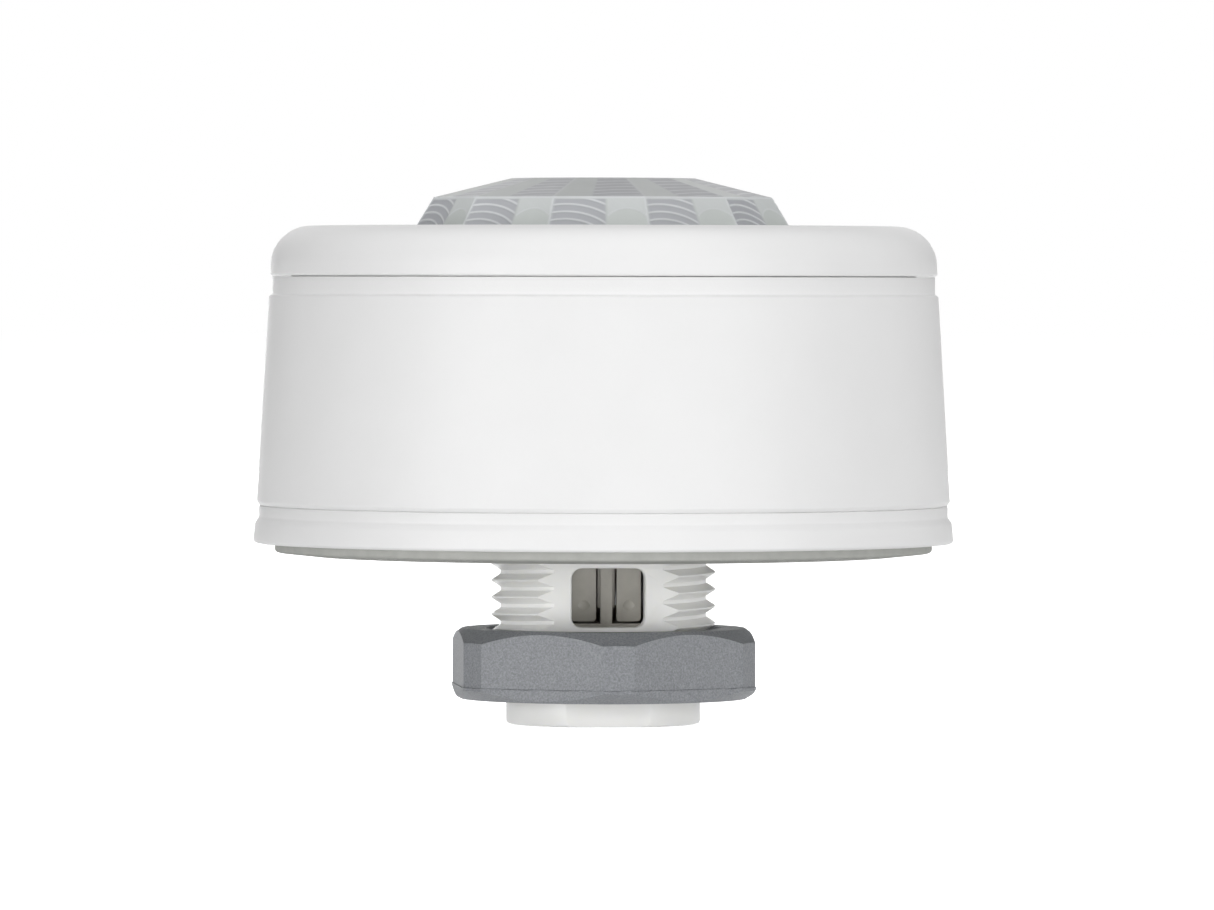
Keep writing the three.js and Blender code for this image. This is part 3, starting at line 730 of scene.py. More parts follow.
class SENSOR_OT_base_plate(Operator):
    """Base plate with its rim, shadow groove, spigot, screw posts and flatted stem hole"""

    bl_idname = "sensor.base_plate"
    bl_label = "Base plate"

    def execute(self, context):
        shell, stem = context.scene.sensor_shell, context.scene.sensor_stem
        foot, groove_top = foot_of("base_plate"), foot_of("housing_body")
        spigot_top, spigot_out, spigot_in = top_of("base_plate") - 0.1 * MM, 28.55 * MM, 26.5 * MM
        seal = (foot_of("housing_seal") + top_of("housing_seal")) / 2
        seal_half, seal_depth = 0.5 * MM, 0.95 * MM
        corner = 0.32 * MM
        rim_top = foot + shell.rim_height
        profile = [(6 * MM, foot)]
        profile += arc(shell.rim_radius - corner, foot + corner, corner, -90, 2, 6)
        profile += [
            (shell.rim_radius - 0.14 * MM, rim_top),
            (shell.lower_groove_radius, rim_top + shell.rim_slope),
            (shell.lower_groove_radius, groove_top),
            (spigot_out, groove_top),
            (spigot_out, seal - seal_half),
            (spigot_out - seal_depth, seal - seal_half),
            (spigot_out - seal_depth, seal + seal_half),
            (spigot_out, seal + seal_half),
            (spigot_out, spigot_top - 0.3 * MM),
            (spigot_out - 0.3 * MM, spigot_top),
            (spigot_in, spigot_top),
            (spigot_in, FLOOR_TOP),
            (6 * MM, FLOOR_TOP),
        ]
        piece = turned("base_plate_moulding", profile, shell.segments)
        soften(piece, shell.edge_round)
        self.raise_posts(piece)
        slack = 0.1 * MM
        radius, flat = stem.root_radius + slack, stem.flat_distance + slack
        hole = turned_solid("stem_hole", [(radius, 0), (radius, FLOOR_TOP + MM)], 96)
        slab = block("slab", (-12 * MM, -flat, -MM), (12 * MM, flat, FLOOR_TOP + 2 * MM))
        combine(hole, slab, "INTERSECT")
        combine(piece, hole, "DIFFERENCE")
        smooth(piece)
        finish_piece(piece, "sensor", "housing", MATERIALS["housing"], "base_plate")
        return {"FINISHED"}

    def raise_posts(self, piece):
        """Stands the drilled screw posts on the plate."""
        board = foot_of("control_board")
        for angle in POST_ANGLES:
            place = on_circle(POST_CIRCLE, angle)
            foot = FLOOR_TOP - 0.4 * MM
            post = turned_solid("post", [(2.9 * MM, foot), (2.6 * MM, board)], 40, place)
            combine(piece, post, "UNION")
            pilot = turned_solid("pilot", [(1.1 * MM, 3.6 * MM), (1.1 * MM, board + MM)], 32, place)
            combine(piece, pilot, "DIFFERENCE")


class SENSOR_OT_housing_body(Operator):
    """Tall drafted wall with the neck that the cover sits on"""

    bl_idname = "sensor.housing_body"
    bl_label = "Housing body"

    def execute(self, context):
        shell = context.scene.sensor_shell
        foot, top = foot_of("housing_body"), top_of("housing_body")
        neck_top = foot_of("top_cover") - 0.06 * MM
        wall_top = foot_of("top_cover") - shell.neck_height
        socket, spigot = 28.65 * MM, 27.7 * MM
        seal = (foot_of("cover_seal") + top_of("cover_seal")) / 2
        seal_half, seal_depth = 0.45 * MM, 0.8 * MM
        profile = [
            (socket, foot),
            (shell.wall_foot_radius - 0.28 * MM, foot),
            (shell.wall_foot_radius, foot + 0.36 * MM),
            (shell.wall_top_radius, wall_top),
            (shell.upper_groove_radius, wall_top + 0.15 * MM),
            (shell.upper_groove_radius, neck_top),
            (spigot, neck_top),
            (spigot, seal - seal_half),
            (spigot - seal_depth, seal - seal_half),
            (spigot - seal_depth, seal + seal_half),
            (spigot, seal + seal_half),
            (spigot, top - 0.25 * MM),
            (spigot - 0.25 * MM, top),
            (26.0 * MM, top),
            (26.0 * MM, wall_top - 0.55 * MM),
            (27.4 * MM, wall_top - 1.85 * MM),
            (28.3 * MM, top_of("base_plate") + 0.9 * MM),
            (socket, top_of("base_plate") + 0.6 * MM),
        ]
        piece = turned("housing_wall", profile, shell.segments)
        soften(piece, shell.edge_round * 0.8, angle=20 * DEG)
        smooth(piece)
        finish_piece(piece, "sensor", "housing", MATERIALS["housing"], "housing_body")
        return {"FINISHED"}


class SENSOR_OT_top_cover(Operator):
    """Round-shouldered cover with the hole for the lens"""

    bl_idname = "sensor.top_cover"
    bl_label = "Top cover"

    def execute(self, context):
        shell = context.scene.sensor_shell
        foot, top = foot_of("top_cover"), top_of("top_cover")
        corner = shell.cover_corner
        centre = shell.cover_radius - 0.03 * MM - corner
        under = top - 1.8 * MM
        socket = 27.8 * MM
        profile = [
            (socket, foot),
            (shell.cover_radius - 0.16 * MM, foot),
            (shell.cover_radius, foot + 0.16 * MM),
        ]
        profile += arc(centre, top - corner, corner, 0, 90, 28)
        profile += [
            (shell.cover_hole + 0.25 * MM, top),
            (shell.cover_hole, top - 0.25 * MM),
            (shell.cover_hole, under),
            (socket - 0.5 * MM, under),
            (socket, under - 0.45 * MM),
        ]
        piece = turned("cover_moulding", profile, shell.segments)
        soften(piece, shell.edge_round * 0.6, angle=35 * DEG)
        smooth(piece)
        finish_piece(piece, "sensor", "housing", MATERIALS["housing"], "top_cover")
        return {"FINISHED"}


# ---------------------------------------------------------------------------------------------
# Lens
# ---------------------------------------------------------------------------------------------


# How far the facets run down from the flat top
FACETED_RISE = 4.3 * MM

# The cells on each flat: the width of a rib and of the fade beside a seam
RIB_WIDTH = 0.2 * MM
UPPER_FADE = 0.15 * MM
LOWER_FADE = 0.25 * MM

# The centre of each cell's grooves, as a share of the flat's width and a distance under its foot
UPPER_CENTRE = (0.9, 9 * MM)
LOWER_CENTRE = (0.16, 4.6 * MM)

# Share of a groove's pitch that its long flank takes
LONG_FLANK = 0.8

# The arched field in each smooth cell: how far its centre lies under the foot, radius, line and depth
ARCH_DROP = 0.43 * MM
ARCH_RADIUS = 2.27 * MM
ARCH_LINE = 0.14 * MM
ARCH_EDGE = 0.1 * MM
ARCH_DEPTH = 0.04 * MM


def lens_cell(along, rise, span, slant, lens, upper):
    """Depth under the flat, grooved share, rib share and groove count at a point of a flat.

    along runs from 0 to 1 across the flat and rise is the distance up its slant.
    """
    edge = min(along, 1 - along) * span
    rib = max(0.0, 1 - edge / RIB_WIDTH)
    if upper:
        centre, under = UPPER_CENTRE
        seam = (along - 1 + lens.cell_split) * span
        grooved = min(max(seam / UPPER_FADE, 0.0), 1.0) * (1 - rib)
        rings = math.hypot((along - centre) * span, rise + under) / lens.fine_pitch
        return 0.0, grooved * 0.8, 0.5 * rib, rings
    rib = max(rib, 1 - max(slant - rise - 0.1 * MM, 0.0) / RIB_WIDTH)
    centre, under = LOWER_CENTRE
    rings = math.hypot((along - centre) * span, rise + under) / lens.groove_pitch
    seam = (lens.cell_split - along) * span
    if seam > 0:
        fade = min(seam / LOWER_FADE, 1.0) * (1 - rib)
        place = rings % 1.0
        valley = place / LONG_FLANK if place < LONG_FLANK else (1 - place) / (1 - LONG_FLANK)
        return lens.groove_depth * fade * valley, fade, rib, rings
    middle = (lens.cell_split + 1) / 2
    arch = math.hypot((along - middle) * span, rise + ARCH_DROP) - ARCH_RADIUS
    line = max(0.0, 1 - abs(arch) / ARCH_LINE)
    if arch < 0:
        return ARCH_DEPTH * min(-arch / ARCH_EDGE, 1.0) * (1 - rib), 0.0, max(rib, line), rings
    return 0.0, 0.1, max(rib, line, 0.4), rings


class SENSOR_OT_lens(Operator):
    """Twelve-sided lens in two tiers, with a grooved and a smooth cell on every flat"""

    bl_idname = "sensor.lens"
    bl_label = "Lens"

    cuts: IntProperty(name="Cuts", description="Cuts across each flat", default=49, min=9, max=55)

    def execute(self, context):
        lens = context.scene.sensor_lens
        top = top_of("lens_dome")
        base, tier = top - FACETED_RISE, top - lens.tier_drop
        clear_selection()
        bpy.ops.mesh.primitive_circle_add(
            vertices=lens.sides, radius=lens.base_radius, location=(0, 0, base), fill_type="NOTHING"
        )
        piece = name_new("faceted_lens")
        settle(piece)
        edit_all(piece, "EDGE")
        raise_rings([(lens.base_radius, base), (lens.tier_radius, tier), (lens.top_radius, top)])
        bpy.ops.mesh.select_all(action="SELECT")
        bpy.ops.mesh.subdivide(number_cuts=self.cuts)
        bpy.ops.object.mode_set(mode="OBJECT")
        self.cut_cells(piece, lens, (base, tier, top))
        self.close_shell(piece, lens, (base, tier, top))
        piece.rotation_euler = (0, 0, lens.turn)
        settle(piece)
        self.add_collar(piece)
        smooth(piece, 24 * DEG)
        finish_piece(piece, "sensor", "lens", MATERIALS["lens"], "lens_dome")
        return {"FINISHED"}

    def cut_cells(self, piece, lens, heights):
        """Presses the grooves into the flats and writes what each point belongs to."""
        base, tier, top = heights
        mesh = piece.data
        names = ("grooved", "rib", "rings", "roof")
        for name in names:
            mesh.attributes.new(name, "FLOAT", "POINT")
        layers = [mesh.attributes[name].data for name in names]
        step = 2 * math.pi / lens.sides
        first = math.pi / 2
        for index, vertex in enumerate(mesh.vertices):
            x, y, z = vertex.co
            upper = z > tier + 0.01 * MM
            low_radius, low = (lens.tier_radius, tier) if upper else (lens.base_radius, base)
            high_radius, high = (lens.top_radius, top) if upper else (lens.tier_radius, tier)
            up = (z - low) / (high - low)
            half = (low_radius + (high_radius - low_radius) * up) * math.sin(step / 2)
            flat = math.floor((math.atan2(y, x) - first) / step + 1e-6)
            middle = first + (flat + 0.5) * step
            across = y * math.cos(middle) - x * math.sin(middle)
            along = min(max((across / half + 1) / 2, 0.0), 1.0)
            run = (low_radius - high_radius) * math.cos(step / 2)
            slant = math.hypot(run, high - low)
            depth, *shares = lens_cell(along, up * slant, 2 * half, slant, lens, upper)
            lean = math.atan2(run, high - low)
            level = math.cos(lean)
            vertex.co -= depth * Vector((math.cos(middle) * level, math.sin(middle) * level, math.sin(lean)))
            for layer, value in zip(layers, (*shares, float(upper))):
                layer[index].value = value

    def close_shell(self, piece, lens, heights):
        """Closes the flat top with nested rings, and turns the lower edge in and up to a wall."""
        base, tier, top = heights
        edit_all(piece, "EDGE")
        self.select_rim(piece, tier, above=True)
        shares = [1 - step / 9 for step in range(9)]
        raise_rings([(lens.top_radius * share, top) for share in shares])
        bpy.ops.mesh.edge_face_add()
        self.select_rim(piece, tier, above=False)
        bpy.ops.mesh.extrude_edges_move(TRANSFORM_OT_translate={"value": (0, 0, -0.25 * MM)})
        raise_rings(
            [
                (lens.base_radius, base - 0.25 * MM),
                (lens.base_radius - 1.0 * MM, base - 0.25 * MM),
                (lens.tier_radius - 0.8 * MM, tier - 0.75 * MM),
                (lens.top_radius - 0.25 * MM, top - lens.wall),
            ]
        )
        bpy.ops.mesh.edge_face_add()
        close_edit(piece)
        for vertex in piece.data.vertices:
            reach = math.hypot(vertex.co.x, vertex.co.y)
            if vertex.co.z > top - 0.01 * MM and reach < lens.top_radius * 0.95:
                shares = {"grooved": 0.5, "rib": 0.0, "rings": reach / lens.groove_pitch, "roof": 1.0}
                for name, value in shares.items():
                    piece.data.attributes[name].data[vertex.index].value = value

    def select_rim(self, piece, tier, above):
        """Selects the open edge over or under the tiers' meeting line."""
        bpy.ops.mesh.select_all(action="DESELECT")
        bpy.ops.mesh.select_mode(type="EDGE")
        bpy.ops.mesh.select_non_manifold()
        bpy.ops.object.mode_set(mode="OBJECT")
        points = piece.data.vertices
        for edge in piece.data.edges:
            high = points[edge.vertices[0]].co.z > tier
            edge.select = edge.select and high == above
        bpy.ops.object.mode_set(mode="EDIT")

    def add_collar(self, piece):
        """The round collar and flange that clamp the lens under the cover."""
        foot = foot_of("lens_dome")
        bore, neck, flange = 15.4 * MM, 17.3 * MM, 19.3 * MM
        collar = turned(
            "collar",
            [
                (bore, foot),
                (flange, foot),
                (flange, foot + 1.0 * MM),
                (neck, foot + 1.0 * MM),
                (neck, foot + 2.65 * MM),
                (neck - 0.1 * MM, foot + 2.75 * MM),
                (bore, foot + 2.75 * MM),
            ],
            144,
        )
        activate(collar)
        piece.select_set(True)
        bpy.context.view_layer.objects.active = piece
        bpy.ops.object.join()


# ---------------------------------------------------------------------------------------------
# Stem and locknut
# ---------------------------------------------------------------------------------------------


def thread_ridge(name, stem, clearance, foot, top):
    """One V ridge that climbs right-handed round the stem, fuller where it cuts a nut's thread."""
    root = stem.root_radius - 0.1 * MM
    crest = stem.crest_radius + clearance
    half = 0.66 * MM + clearance * 0.6
    tip = 0.07 * MM
    turns = math.floor((top - foot) / stem.pitch)
    first = stem.crest_at_left - stem.pitch * math.floor((stem.crest_at_left - foot) / stem.pitch)
    clear_selection()
    bpy.ops.mesh.primitive_plane_add(size=1, rotation=(math.pi / 2, 0, 0))
    ridge = name_new(name)
    settle(ridge)
    corners = sorted(ridge.data.vertices, key=lambda v: (v.co.x > 0, v.co.z))
    for vertex, (radius, rise) in zip(corners, ((root, -half), (root, half), (crest, -tip), (crest, tip))):
        vertex.co = (-radius, 0, first + rise)
    modifier(
        ridge,
        "SCREW",
        axis="Z",
        angle=2 * math.pi,
        screw_offset=stem.pitch,
        iterations=turns,
        steps=stem.segments,
        render_steps=stem.segments,
        use_merge_vertices=True,
        use_smooth_shade=False,
    )
    edit_all(ridge, "EDGE")
    bpy.ops.mesh.select_all(action="DESELECT")
    bpy.ops.mesh.select_non_manifold()
    bpy.ops.mesh.edge_face_add()
    return close_edit(ridge)


class SENSOR_OT_stem(Operator):
    """Hollow stem with its thread, flats, window, flange and plain end"""

    bl_idname = "sensor.stem"
    bl_label = "Stem"

    def execute(self, context):
        stem = context.scene.sensor_stem
        foot, flange_top = foot_of("threaded_stem"), top_of("threaded_stem")
        spigot, root = stem.spigot_radius, stem.root_radius
        shaft = turned_solid(
            "stem_moulding",
            [
                (spigot - 0.35 * MM, foot),
                (spigot - 0.1 * MM, foot + 0.1 * MM),
                (spigot, foot + 0.35 * MM),
                (spigot, stem.thread_foot - 0.4 * MM),
                (root, stem.thread_foot),
                (root, FLOOR_TOP + 0.5 * MM),
            ],
            stem.segments * 2,
        )
        combine(shaft, thread_ridge("ridge", stem, 0.0, stem.thread_foot, stem.thread_top), "UNION")
        reach, flat = 12 * MM, stem.flat_distance
        slab = block("slab", (-reach, -flat, foot - MM), (reach, flat, FLOOR_TOP + 2 * MM))
        combine(shaft, slab, "INTERSECT")
        combine(shaft, self.flange(stem, flange_top), "UNION")
        bore = turned_solid(
            "bore",
            [
                (stem.bore_radius + 1.2 * MM, foot - 0.8 * MM),
                (stem.bore_radius, foot + 0.5 * MM),
                (stem.bore_radius, flange_top + MM),
            ],
            stem.segments,
        )
        combine(shaft, bore, "DIFFERENCE")
        combine(shaft, self.window_cutter(stem), "DIFFERENCE")
        smooth(shaft, 28 * DEG)
        finish_piece(shaft, "sensor", "stem", MATERIALS["stem"], "threaded_stem")
        return {"FINISHED"}

    def flange(self, stem, top):
        """The round flange that bears on the base plate's floor, with the groove of its seal."""
        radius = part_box("threaded_stem")[1].x
        piece = turned_solid(
            "flange",
            [
                (radius - 0.2 * MM, FLOOR_TOP),
                (radius, FLOOR_TOP + 0.2 * MM),
                (radius, top - 0.3 * MM),
                (radius - 0.3 * MM, top),
            ],
            stem.segments,
        )
        under = FLOOR_TOP - MM
        depth = FLOOR_TOP + 0.9 * MM
        inner, outer = 10.6 * MM, 11.6 * MM
        groove = turned("groove", [(inner, under), (outer, under), (outer, depth), (inner, depth)], 96)
        return combine(piece, groove, "DIFFERENCE")

    def window_cutter(self, stem):
        """A rounded bar that flares where it leaves the flat, so that the window's edge is broken."""
        half, front, flare = stem.window_width / 2, -stem.flat_distance, 0.1 * MM
        cutter = block("window", (-half, front + flare, stem.window_foot), (half, -2 * MM, stem.window_top))
        bevel_edges_along(cutter, 1, stem.window_corner, 8)
        select_faces(cutter, lambda face: face.normal.y < -0.9)
        middle = (0, front, (stem.window_top + stem.window_foot) / 2)
        grow = 1 + 2 * flare / stem.window_width
        for _ in range(2):
            bpy.ops.mesh.extrude_region_move(TRANSFORM_OT_translate={"value": (0, -flare, 0)})
            bpy.ops.transform.resize(value=(grow, 1, grow), center_override=middle)
        return close_edit(cutter)


class SENSOR_OT_locknut(Operator):
    """Hexagonal locknut with cut corners, coned faces, a flash line and an inside thread"""

    bl_idname = "sensor.locknut"
    bl_label = "Locknut"

    def execute(self, context):
        stem = context.scene.sensor_stem
        foot, top = foot_of("locknut"), top_of("locknut")
        nut = self.hexagon(stem, foot, top)
        cone = turned_solid(
            "cone",
            [
                (12.7 * MM, foot),
                (14.5 * MM, foot + 1.08 * MM),
                (14.5 * MM, top - 1.35 * MM),
                (12.6 * MM, top),
            ],
            stem.segments * 2,
        )
        combine(nut, cone, "INTERSECT")
        combine(nut, self.bore_cutter(stem, foot, top), "DIFFERENCE")
        groove = thread_ridge("groove", stem, 0.1 * MM, foot - 3 * MM, top + 3 * MM)
        combine(nut, groove, "DIFFERENCE")
        smooth(nut, 20 * DEG)
        finish_piece(nut, "locknut", "nut", MATERIALS["nut"], "locknut")
        return {"FINISHED"}

    def hexagon(self, stem, foot, top):
        """The six-sided bar with its cut corners and the thin ragged flash of its mould."""
        flat = stem.nut_flats / 2
        corner_cut = flat * math.tan(30 * DEG) - math.sqrt(stem.nut_corner_radius**2 - flat**2)
        clear_selection()
        bpy.ops.mesh.primitive_circle_add(
            vertices=6, radius=flat / math.cos(30 * DEG), location=(0, 0, foot), fill_type="NGON"
        )
        nut = name_new("hex_locknut")
        settle(nut)
        edit_all(nut, "VERT")
        bpy.ops.mesh.bevel(offset=corner_cut, affect="VERTICES")
        bpy.ops.mesh.select_all(action="SELECT")
        bpy.ops.mesh.subdivide(number_cuts=23)
        bpy.ops.mesh.select_all(action="DESELECT")
        bpy.ops.mesh.select_mode(type="EDGE")
        bpy.ops.mesh.select_non_manifold()
        line = foot + stem.parting_height
        flash = 0.05 * MM
        raise_rings(
            [
                (flat, foot),
                (flat, line - 0.09 * MM),
                (flat + flash, line - 0.03 * MM),
                (flat + flash, line + 0.02 * MM),
                (flat - flash, line + 0.06 * MM),
                (flat - flash, top),
            ]
        )
        bpy.ops.mesh.edge_face_add()
        close_edit(nut)
        for vertex in nut.data.vertices:
            if abs(vertex.co.z - line) < 0.05 * MM:
                ragged = noise.noise(vertex.co * 1.3 / MM) + 0.6 * noise.noise(vertex.co * 3.1 / MM)
                vertex.co.z += 0.11 * MM * ragged
        nut.rotation_euler = (0, 0, stem.nut_turn)
        settle(nut)
        return nut

    def bore_cutter(self, stem, foot, top):
        """The plain hole that the inside thread is cut from, coned at both mouths."""
        minor, mouth = stem.root_radius + 0.12 * MM, stem.crest_radius + 0.55 * MM
        return turned_solid(
            "nut_bore",
            [
                (mouth + 0.5 * MM, foot - 0.5 * MM),
                (minor, foot + mouth - minor),
                (minor, top - mouth + minor),
                (mouth + 0.5 * MM, top + 0.5 * MM),
            ],
            stem.segments * 2,
        )


# ---------------------------------------------------------------------------------------------
# Terminal block
# ---------------------------------------------------------------------------------------------


class SENSOR_OT_terminal_block(Operator):
    """Two-pole terminal block with its lever chambers, wire funnels and middle rib"""

    bl_idname = "sensor.terminal_block"
    bl_label = "Terminal block"

    def execute(self, context):
        clamp = context.scene.sensor_clamp
        foot, top = foot_of("terminal_housing"), top_of("terminal_housing")
        flange_foot = top - 0.8 * MM
        radius, flange = clamp.block_radius, reach_of("terminal_housing")
        plug = turned_solid(
            "terminal_block",
            [
                (radius - 0.35 * MM, foot),
                (radius, foot + 0.35 * MM),
                (radius, flange_foot),
                (flange, flange_foot),
                (flange, top - 0.15 * MM),
                (flange - 0.15 * MM, top),
            ],
            96,
        )
        low, high = (-8 * MM, -8 * MM, foot - MM), (8 * MM, clamp.front, flange_foot)
        combine(plug, block("front", low, high), "DIFFERENCE")
        for side in (-1, 1):
            self.cut_pole(plug, clamp, side, foot, top)
        for side in (-1, 1):
            inner, outer = sorted((side * (clamp.rib_half - 0.1 * MM), side * clamp.lip_half))
            lip_foot = (inner, clamp.front + 0.38 * MM, clamp.crease - 0.1 * MM)
            lip_top = (outer, clamp.front + 1.5 * MM, clamp.chamber_top + 0.1 * MM)
            combine(plug, block("lip", lip_foot, lip_top), "UNION")
        soften(plug, 0.07 * MM, 2, 40 * DEG)
        flatten_shading(smooth(plug))
        finish_piece(plug, "sensor", "clamp", MATERIALS["clamp"], "terminal_housing")
        return {"FINISHED"}

    def cut_pole(self, plug, clamp, side, foot, top):
        """One lever chamber, the funnel that leads a wire into it and the contact bar's slot."""
        inner, outer = sorted((side * clamp.rib_half, side * clamp.chamber_width))
        low = (inner, clamp.front - MM, clamp.chamber_foot)
        combine(plug, block("chamber", low, (outer, 3.6 * MM, clamp.chamber_top)), "DIFFERENCE")
        funnel = turned_solid(
            "funnel",
            [
                (2.1 * MM, foot - 0.5 * MM),
                (1.25 * MM, foot + 0.75 * MM),
                (1.25 * MM, clamp.chamber_foot + 0.5 * MM),
            ],
            48,
            (side * 1.96 * MM, 1.5 * MM),
        )
        combine(plug, funnel, "DIFFERENCE")
        bar_low, bar_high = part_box("contact_bar_left" if side < 0 else "contact_bar_right")
        slack = Vector((0.1, 0.1, 0)) * MM
        slot_low = Vector((bar_low.x, bar_low.y, clamp.chamber_top - 0.5 * MM)) - slack
        slot_high = Vector((bar_high.x, bar_high.y, top + MM)) + slack
        combine(plug, block("slot", slot_low, slot_high), "DIFFERENCE")


class SENSOR_OT_release_levers(Operator):
    """Two release levers, each with a creased foot, a dimple for a screwdriver and a round barrel"""

    bl_idname = "sensor.release_levers"
    bl_label = "Release levers"

    def execute(self, context):
        clamp = context.scene.sensor_clamp
        for label in ("left", "right"):
            node = f"release_lever_{label}"
            lever = self.lever(node, clamp)
            finish_piece(lever, node, "clamp", MATERIALS["lever"], node)
        return {"FINISHED"}

    def lever(self, node, clamp):
        """One lever: a creased and dimpled blade under its barrel."""
        low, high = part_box(node)
        barrel_radius = 0.72 * MM
        pivot = (low.y + 0.03 * MM + barrel_radius, high.z - barrel_radius)
        blade = block(f"{node}_blade", low, (high.x, clamp.front + 1.0 * MM, pivot[1]))
        bevel_edges_along(blade, 1, 0.3 * MM, 6)
        self.crease(blade, clamp, low.z)
        dent_radius, dent_depth = 1.0 * MM, 0.14 * MM
        dent_front = clamp.front - dent_radius + dent_depth
        dent = self.ball("dent", ((low.x + high.x) / 2, dent_front, clamp.crease + 0.1 * MM), dent_radius)
        combine(blade, dent, "DIFFERENCE")
        barrel = self.barrel(low.x, high.x, barrel_radius, pivot)
        combine(blade, barrel, "UNION")
        soften(blade, 0.05 * MM, 2, 38 * DEG)
        return flatten_shading(smooth(blade))

    def crease(self, blade, clamp, foot):
        """Folds the lever's foot back a little below the crease."""
        edit_all(blade)
        bpy.ops.mesh.bisect(plane_co=(0, 0, clamp.crease), plane_no=(0, 0, 1))
        bpy.ops.object.mode_set(mode="OBJECT")
        for vertex in blade.data.vertices:
            if vertex.co.z < clamp.crease - 0.01 * MM:
                share_down = (clamp.crease - vertex.co.z) / (clamp.crease - foot)
                vertex.co.y += 0.2 * MM * share_down

    def ball(self, name, place, radius):
        """A round cutter."""
        clear_selection()
        bpy.ops.mesh.primitive_uv_sphere_add(segments=48, ring_count=32, radius=radius, location=place)
        piece = name_new(name)
        settle(piece)
        return piece

    def barrel(self, left, right, radius, pivot):
        """The round bar along X that the lever turns on."""
        piece = turned_solid("barrel", [(radius, left), (radius, right)], 40)
        piece.rotation_euler = (0, math.pi / 2, 0)
        settle(piece)
        piece.location = (0, pivot[0], pivot[1])
        settle(piece)
        return piece


# ---------------------------------------------------------------------------------------------
# Stage
# ---------------------------------------------------------------------------------------------


# Name, azimuth and elevation in degrees, distance, width and height in metres, and watts
SOFT_BOXES = (
    ("top_box", 0, 88, 1.1, 1.8, 1.8, 13.5),
    ("right_box", 92, 8, 1.2, 1.4, 1.4, 3.8),
    ("left_front_box", -50, 2, 1.1, 0.4, 0.4, 6.2),
    ("right_front_box", 46, 2, 1.1, 0.6, 0.6, 4.9),
    ("low_front_box", -3, -22, 1.2, 1.2, 0.5, 5.1),
    ("under_box", 0, -80, 1.0, 1.2, 1.2, 1.65),
    ("rear_box", 180, 14, 1.1, 0.7, 0.7, 1.9),
    ("low_rear_box", 180, -8, 1.1, 0.45, 0.5, 4.5),
)


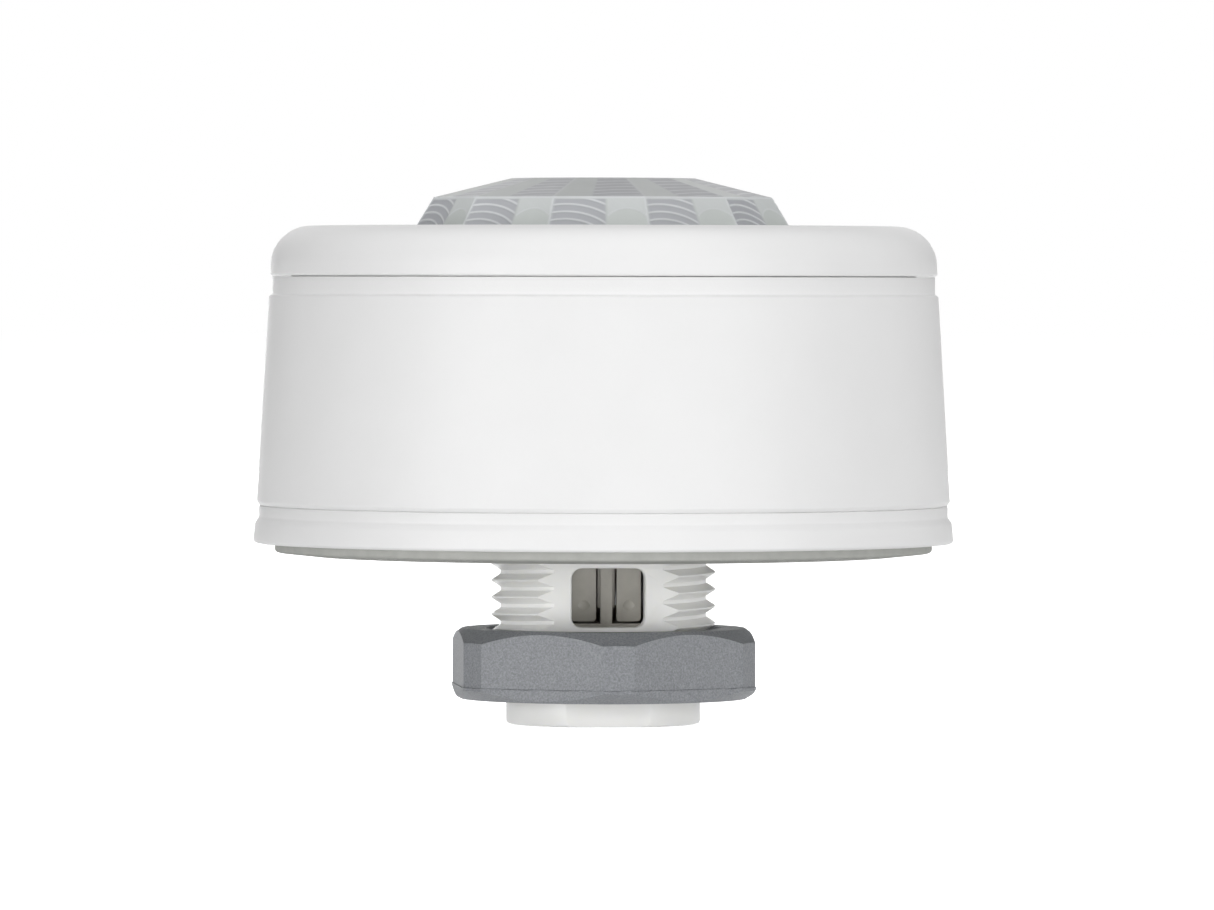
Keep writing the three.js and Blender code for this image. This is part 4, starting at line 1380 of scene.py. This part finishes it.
class SENSOR_OT_stage(Operator):
    """White floor and surroundings, soft boxes and the camera"""

    bl_idname = "sensor.stage"
    bl_label = "Stage"

    def execute(self, context):
        stage = context.scene.sensor_stage
        self.lay_floor()
        self.surroundings(context.scene)
        for soft_box in SOFT_BOXES:
            self.hang(stage, *soft_box)
        self.camera(context.scene, stage)
        context.scene.view_settings.view_transform = "Standard"
        return {"FINISHED"}

    def lay_floor(self):
        """A pale floor just under the stem's end, seen through from below."""
        clear_selection()
        bpy.ops.mesh.primitive_plane_add(size=12, location=(0, 0, CAD_BOX[0].z - 0.05 * MM))
        floor = name_new("studio_floor")
        settle(floor)
        shade = Shade("studio_white", (0.8, 0.8, 0.8), 0.9, Specular_IOR_Level=0.0)
        shade.shader.inputs["Emission Color"].default_value = (1, 1, 1, 1)
        shade.shader.inputs["Emission Strength"].default_value = 1.0
        sided = shade.add("ShaderNodeMixShader")
        shade.link(shade.add("ShaderNodeNewGeometry").outputs["Backfacing"], sided.inputs[0])
        shade.link(shade.shader.outputs[0], sided.inputs[1])
        shade.link(shade.add("ShaderNodeBsdfTransparent").outputs[0], sided.inputs[2])
        shade.link(sided.outputs[0], shade.tree.nodes["Material Output"].inputs["Surface"])
        floor.data.materials.append(shade.material)
        floor.visible_diffuse = False
        floor.visible_shadow = False

    def surroundings(self, scene):
        """Plain white all round, which only the camera sees: the soft boxes give all the light."""
        world = bpy.data.worlds.new("studio")
        world.use_nodes = True
        world.node_tree.nodes["Background"].inputs["Color"].default_value = (1, 1, 1, 1)
        world.cycles_visibility.diffuse = False
        world.cycles_visibility.glossy = False
        scene.world = world

    def hang(self, stage, name, azimuth, elevation, distance, width, height, watts):
        """One soft box on a sphere round the object, turned towards it."""
        level = math.cos(elevation * DEG)
        across, depth = math.sin(azimuth * DEG) * level, -math.cos(azimuth * DEG) * level
        place = Vector((across, depth, math.sin(elevation * DEG))) * distance
        clear_selection()
        bpy.ops.object.light_add(type="AREA", location=place)
        light = name_new(name)
        light.data.shape = "RECTANGLE"
        light.data.size = width
        light.data.size_y = height
        light.data.energy = watts * stage.brightness
        light.rotation_euler = (-place).to_track_quat("-Z", "Y").to_euler()

    def camera(self, scene, stage):
        """A long lens from the front, a little above the middle of the object."""
        side, depth = math.cos(stage.azimuth), math.sin(stage.azimuth)
        place = Vector((stage.distance * depth, -stage.distance * side, stage.camera_height))
        aim = Vector((stage.aim_side * side, stage.aim_side * depth, stage.aim_height))
        turn = (aim - place).to_track_quat("-Z", "Y") @ Quaternion((0, 0, 1), stage.roll)
        clear_selection()
        bpy.ops.object.camera_add(location=place, rotation=turn.to_euler())
        camera = name_new("camera")
        camera.data.sensor_width = 36
        camera.data.lens = stage.focal_length
        camera.data.clip_start = 0.01
        camera.data.clip_end = 50
        scene.camera = camera


class SENSOR_PT_panel(Panel):
    """Sizes, colours and steps of the sensor"""

    bl_idname = "SENSOR_PT_panel"
    bl_label = "Presence Sensor"
    bl_space_type = "VIEW_3D"
    bl_region_type = "UI"
    bl_category = "Sensor"

    def draw(self, context):
        layout = self.layout
        for step in STEPS:
            layout.operator(step.bl_idname)
        for name in SETTINGS:
            box = layout.box()
            box.label(text=name.replace("_", " ").capitalize())
            settings = getattr(context.scene, name)
            for key in settings.bl_rna.properties.keys():
                if key not in {"rna_type", "name"}:
                    box.prop(settings, key)


STEPS = (
    SENSOR_OT_stage,
    SENSOR_OT_materials,
    SENSOR_OT_gasket,
    SENSOR_OT_base_plate,
    SENSOR_OT_housing_body,
    SENSOR_OT_top_cover,
    SENSOR_OT_lens,
    SENSOR_OT_stem,
    SENSOR_OT_locknut,
    SENSOR_OT_terminal_block,
    SENSOR_OT_release_levers,
)
CLASSES = (*SETTINGS.values(), *STEPS, SENSOR_PT_panel)


def register():
    """Adds the classes and gives every scene its settings."""
    for cls in CLASSES:
        bpy.utils.register_class(cls)
    for name, cls in SETTINGS.items():
        setattr(bpy.types.Scene, name, PointerProperty(type=cls))


def unregister():
    """Takes away what register added."""
    for name in SETTINGS:
        delattr(bpy.types.Scene, name)
    for cls in reversed(CLASSES):
        bpy.utils.unregister_class(cls)


def main():
    """Builds the sensor."""
    register()
    for step in STEPS:
        group, name = step.bl_idname.split(".")
        getattr(getattr(bpy.ops, group), name)()
    clear_selection()


if __name__ == "__main__":
    main()
